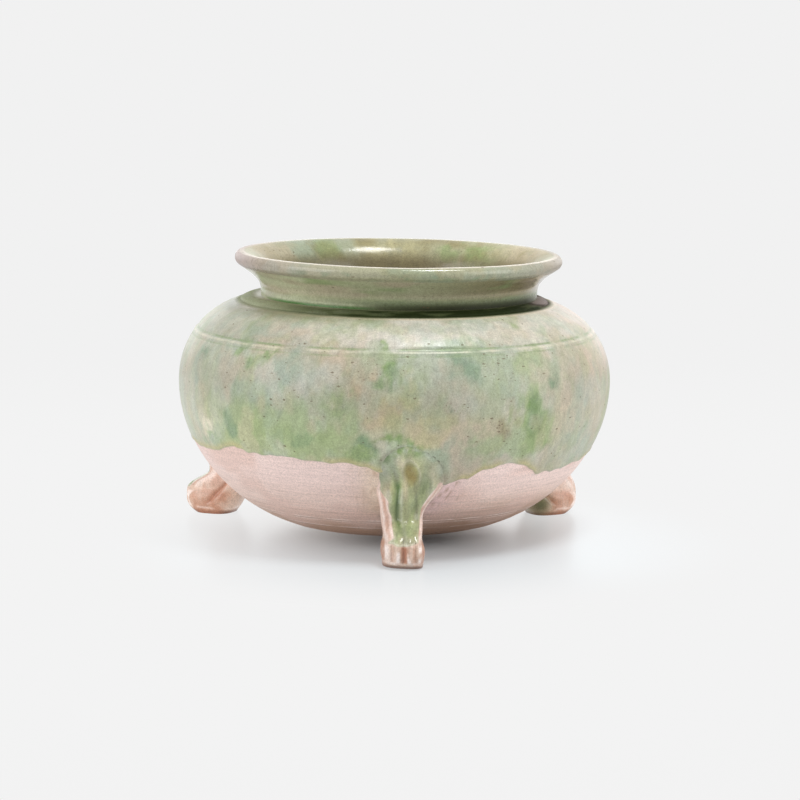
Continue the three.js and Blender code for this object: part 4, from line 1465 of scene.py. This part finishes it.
# The studio, in metres: the pale floor, which fades into the background, and the background itself
BACKGROUND = flat(241, 241, 241)
FLOOR_TONE = flat(200, 210, 216)
FLOOR_GLOW = flat(243, 243, 243)
FLOOR_HALF = 6.0
SHADOW_CENTRE = (0.012, -0.03, 0.0)
SHADOW_REACH = (-0.005, 0.14)
GLOW_REACH = (0.25, 0.7)
WORLD_LIGHT = 0.45

# Soft lamps: name, place, height of what they face on the axis, width, depth and power
LAMPS = [
    ("overhead", (0.25, -0.17, 1.0), 0.06, 0.3, 0.28, 5.9),
    ("left_side", (-1.0, -0.45, 0.4), 0.04, 0.8, 0.9, 6.4),
    ("right_side", (1.05, -0.4, 0.4), 0.04, 0.7, 0.9, 4.8),
    ("behind", (0.0, 1.2, 0.3), 0.02, 2.0, 0.5, 3.2),
]

# The camera: millimetres to the right of the axis, away from it and up, how far it looks down, and its lens
EYE_RIGHT = 2.376
EYE_AWAY = 1300
EYE_HEIGHT = 238.5
EYE_DIP = 0.1413
FOCAL_PIXELS = 3125
FRAME_PIXELS = 800
SENSOR = 36.0
VIEW_END = 20.0


def floor():
    """A wide pale sheet, faintly glossy, whose far parts are as bright as the background."""
    n = Nodes(bpy.data.materials.new("pale_table"))
    measure = n.add("ShaderNodeVectorMath", {0: n.place(), 1: SHADOW_CENTRE}, operation="DISTANCE")
    away = measure.outputs["Value"]
    n.finish("Principled BSDF", {"Base Color": FLOOR_TONE, "Roughness": 0.3, "Specular IOR Level": 0.35})
    far_tone = n.mix(n.step(away, *GLOW_REACH), FLOOR_GLOW, BACKGROUND)
    glow = n.add("ShaderNodeEmission", {"Color": far_tone, "Strength": 1.0})
    sheet = n.tree.nodes["Principled BSDF"]
    far = n.step(away, *SHADOW_REACH)
    mixed = n.add("ShaderNodeMixShader", {0: far, 1: sheet.outputs[0], 2: glow.outputs[0]})
    n.finish("Material Output", {"Surface": mixed.outputs[0]})
    mesh = bpy.data.meshes.new("pale_table")
    corners = [(-1, -1), (1, -1), (1, 1), (-1, 1)]
    mesh.from_pydata([(x * FLOOR_HALF, y * FLOOR_HALF, 0) for x, y in corners], [], [(0, 1, 2, 3)])
    mesh.materials.append(n.owner)
    thing = in_scene("pale_table", mesh)


def world():
    """White surroundings: plain for the camera and in reflections, and a soft even light for the object."""
    n = Nodes(bpy.data.worlds.new("studio"))
    n.finish("Background", {"Color": (1.0, 1.0, 1.0, 1.0), "Strength": WORLD_LIGHT})
    seen = n.add("ShaderNodeBackground", {"Color": BACKGROUND, "Strength": 1.0})
    ray = n.add("ShaderNodeLightPath", {})
    unlit = n.math("ADD", ray.outputs["Is Camera Ray"], ray.outputs["Is Glossy Ray"], True)
    light = n.tree.nodes["Background"]
    mixed = n.add("ShaderNodeMixShader", {0: unlit, 1: light.outputs[0], 2: seen.outputs[0]})
    n.finish("World Output", {"Surface": mixed.outputs[0]})
    bpy.context.scene.world = n.owner


def softbox(name, place, target_height, width, depth, power):
    """A rectangular lamp that faces the middle at a height."""
    data = bpy.data.lights.new(name, "AREA")
    data.shape = "RECTANGLE"
    data.size = width
    data.size_y = depth
    data.energy = power
    lamp = in_scene(name, data)
    lamp.location = place
    x, y, z = -place[0], -place[1], target_height - place[2]
    lamp.rotation_euler = (math.acos(-z / math.hypot(x, y, z)), 0.0, math.atan2(y, x) - math.pi / 2)


def camera():
    """The photograph's view: 1.3 m away, a little above the rim."""
    data = bpy.data.cameras.new("view")
    data.sensor_width = SENSOR
    data.lens = SENSOR * FOCAL_PIXELS / FRAME_PIXELS
    data.clip_end = VIEW_END
    eye = in_scene("view", data)
    eye.location = ((AXIS[0] + EYE_RIGHT) * MM, (AXIS[1] - EYE_AWAY) * MM, EYE_HEIGHT * MM)
    eye.rotation_euler = (math.pi / 2 - EYE_DIP, 0.0, 0.0)
    bpy.context.scene.camera = eye


floor()
world()
for lamp in LAMPS:
    softbox(*lamp)
camera()
bpy.context.scene.view_settings.view_transform = "Standard"
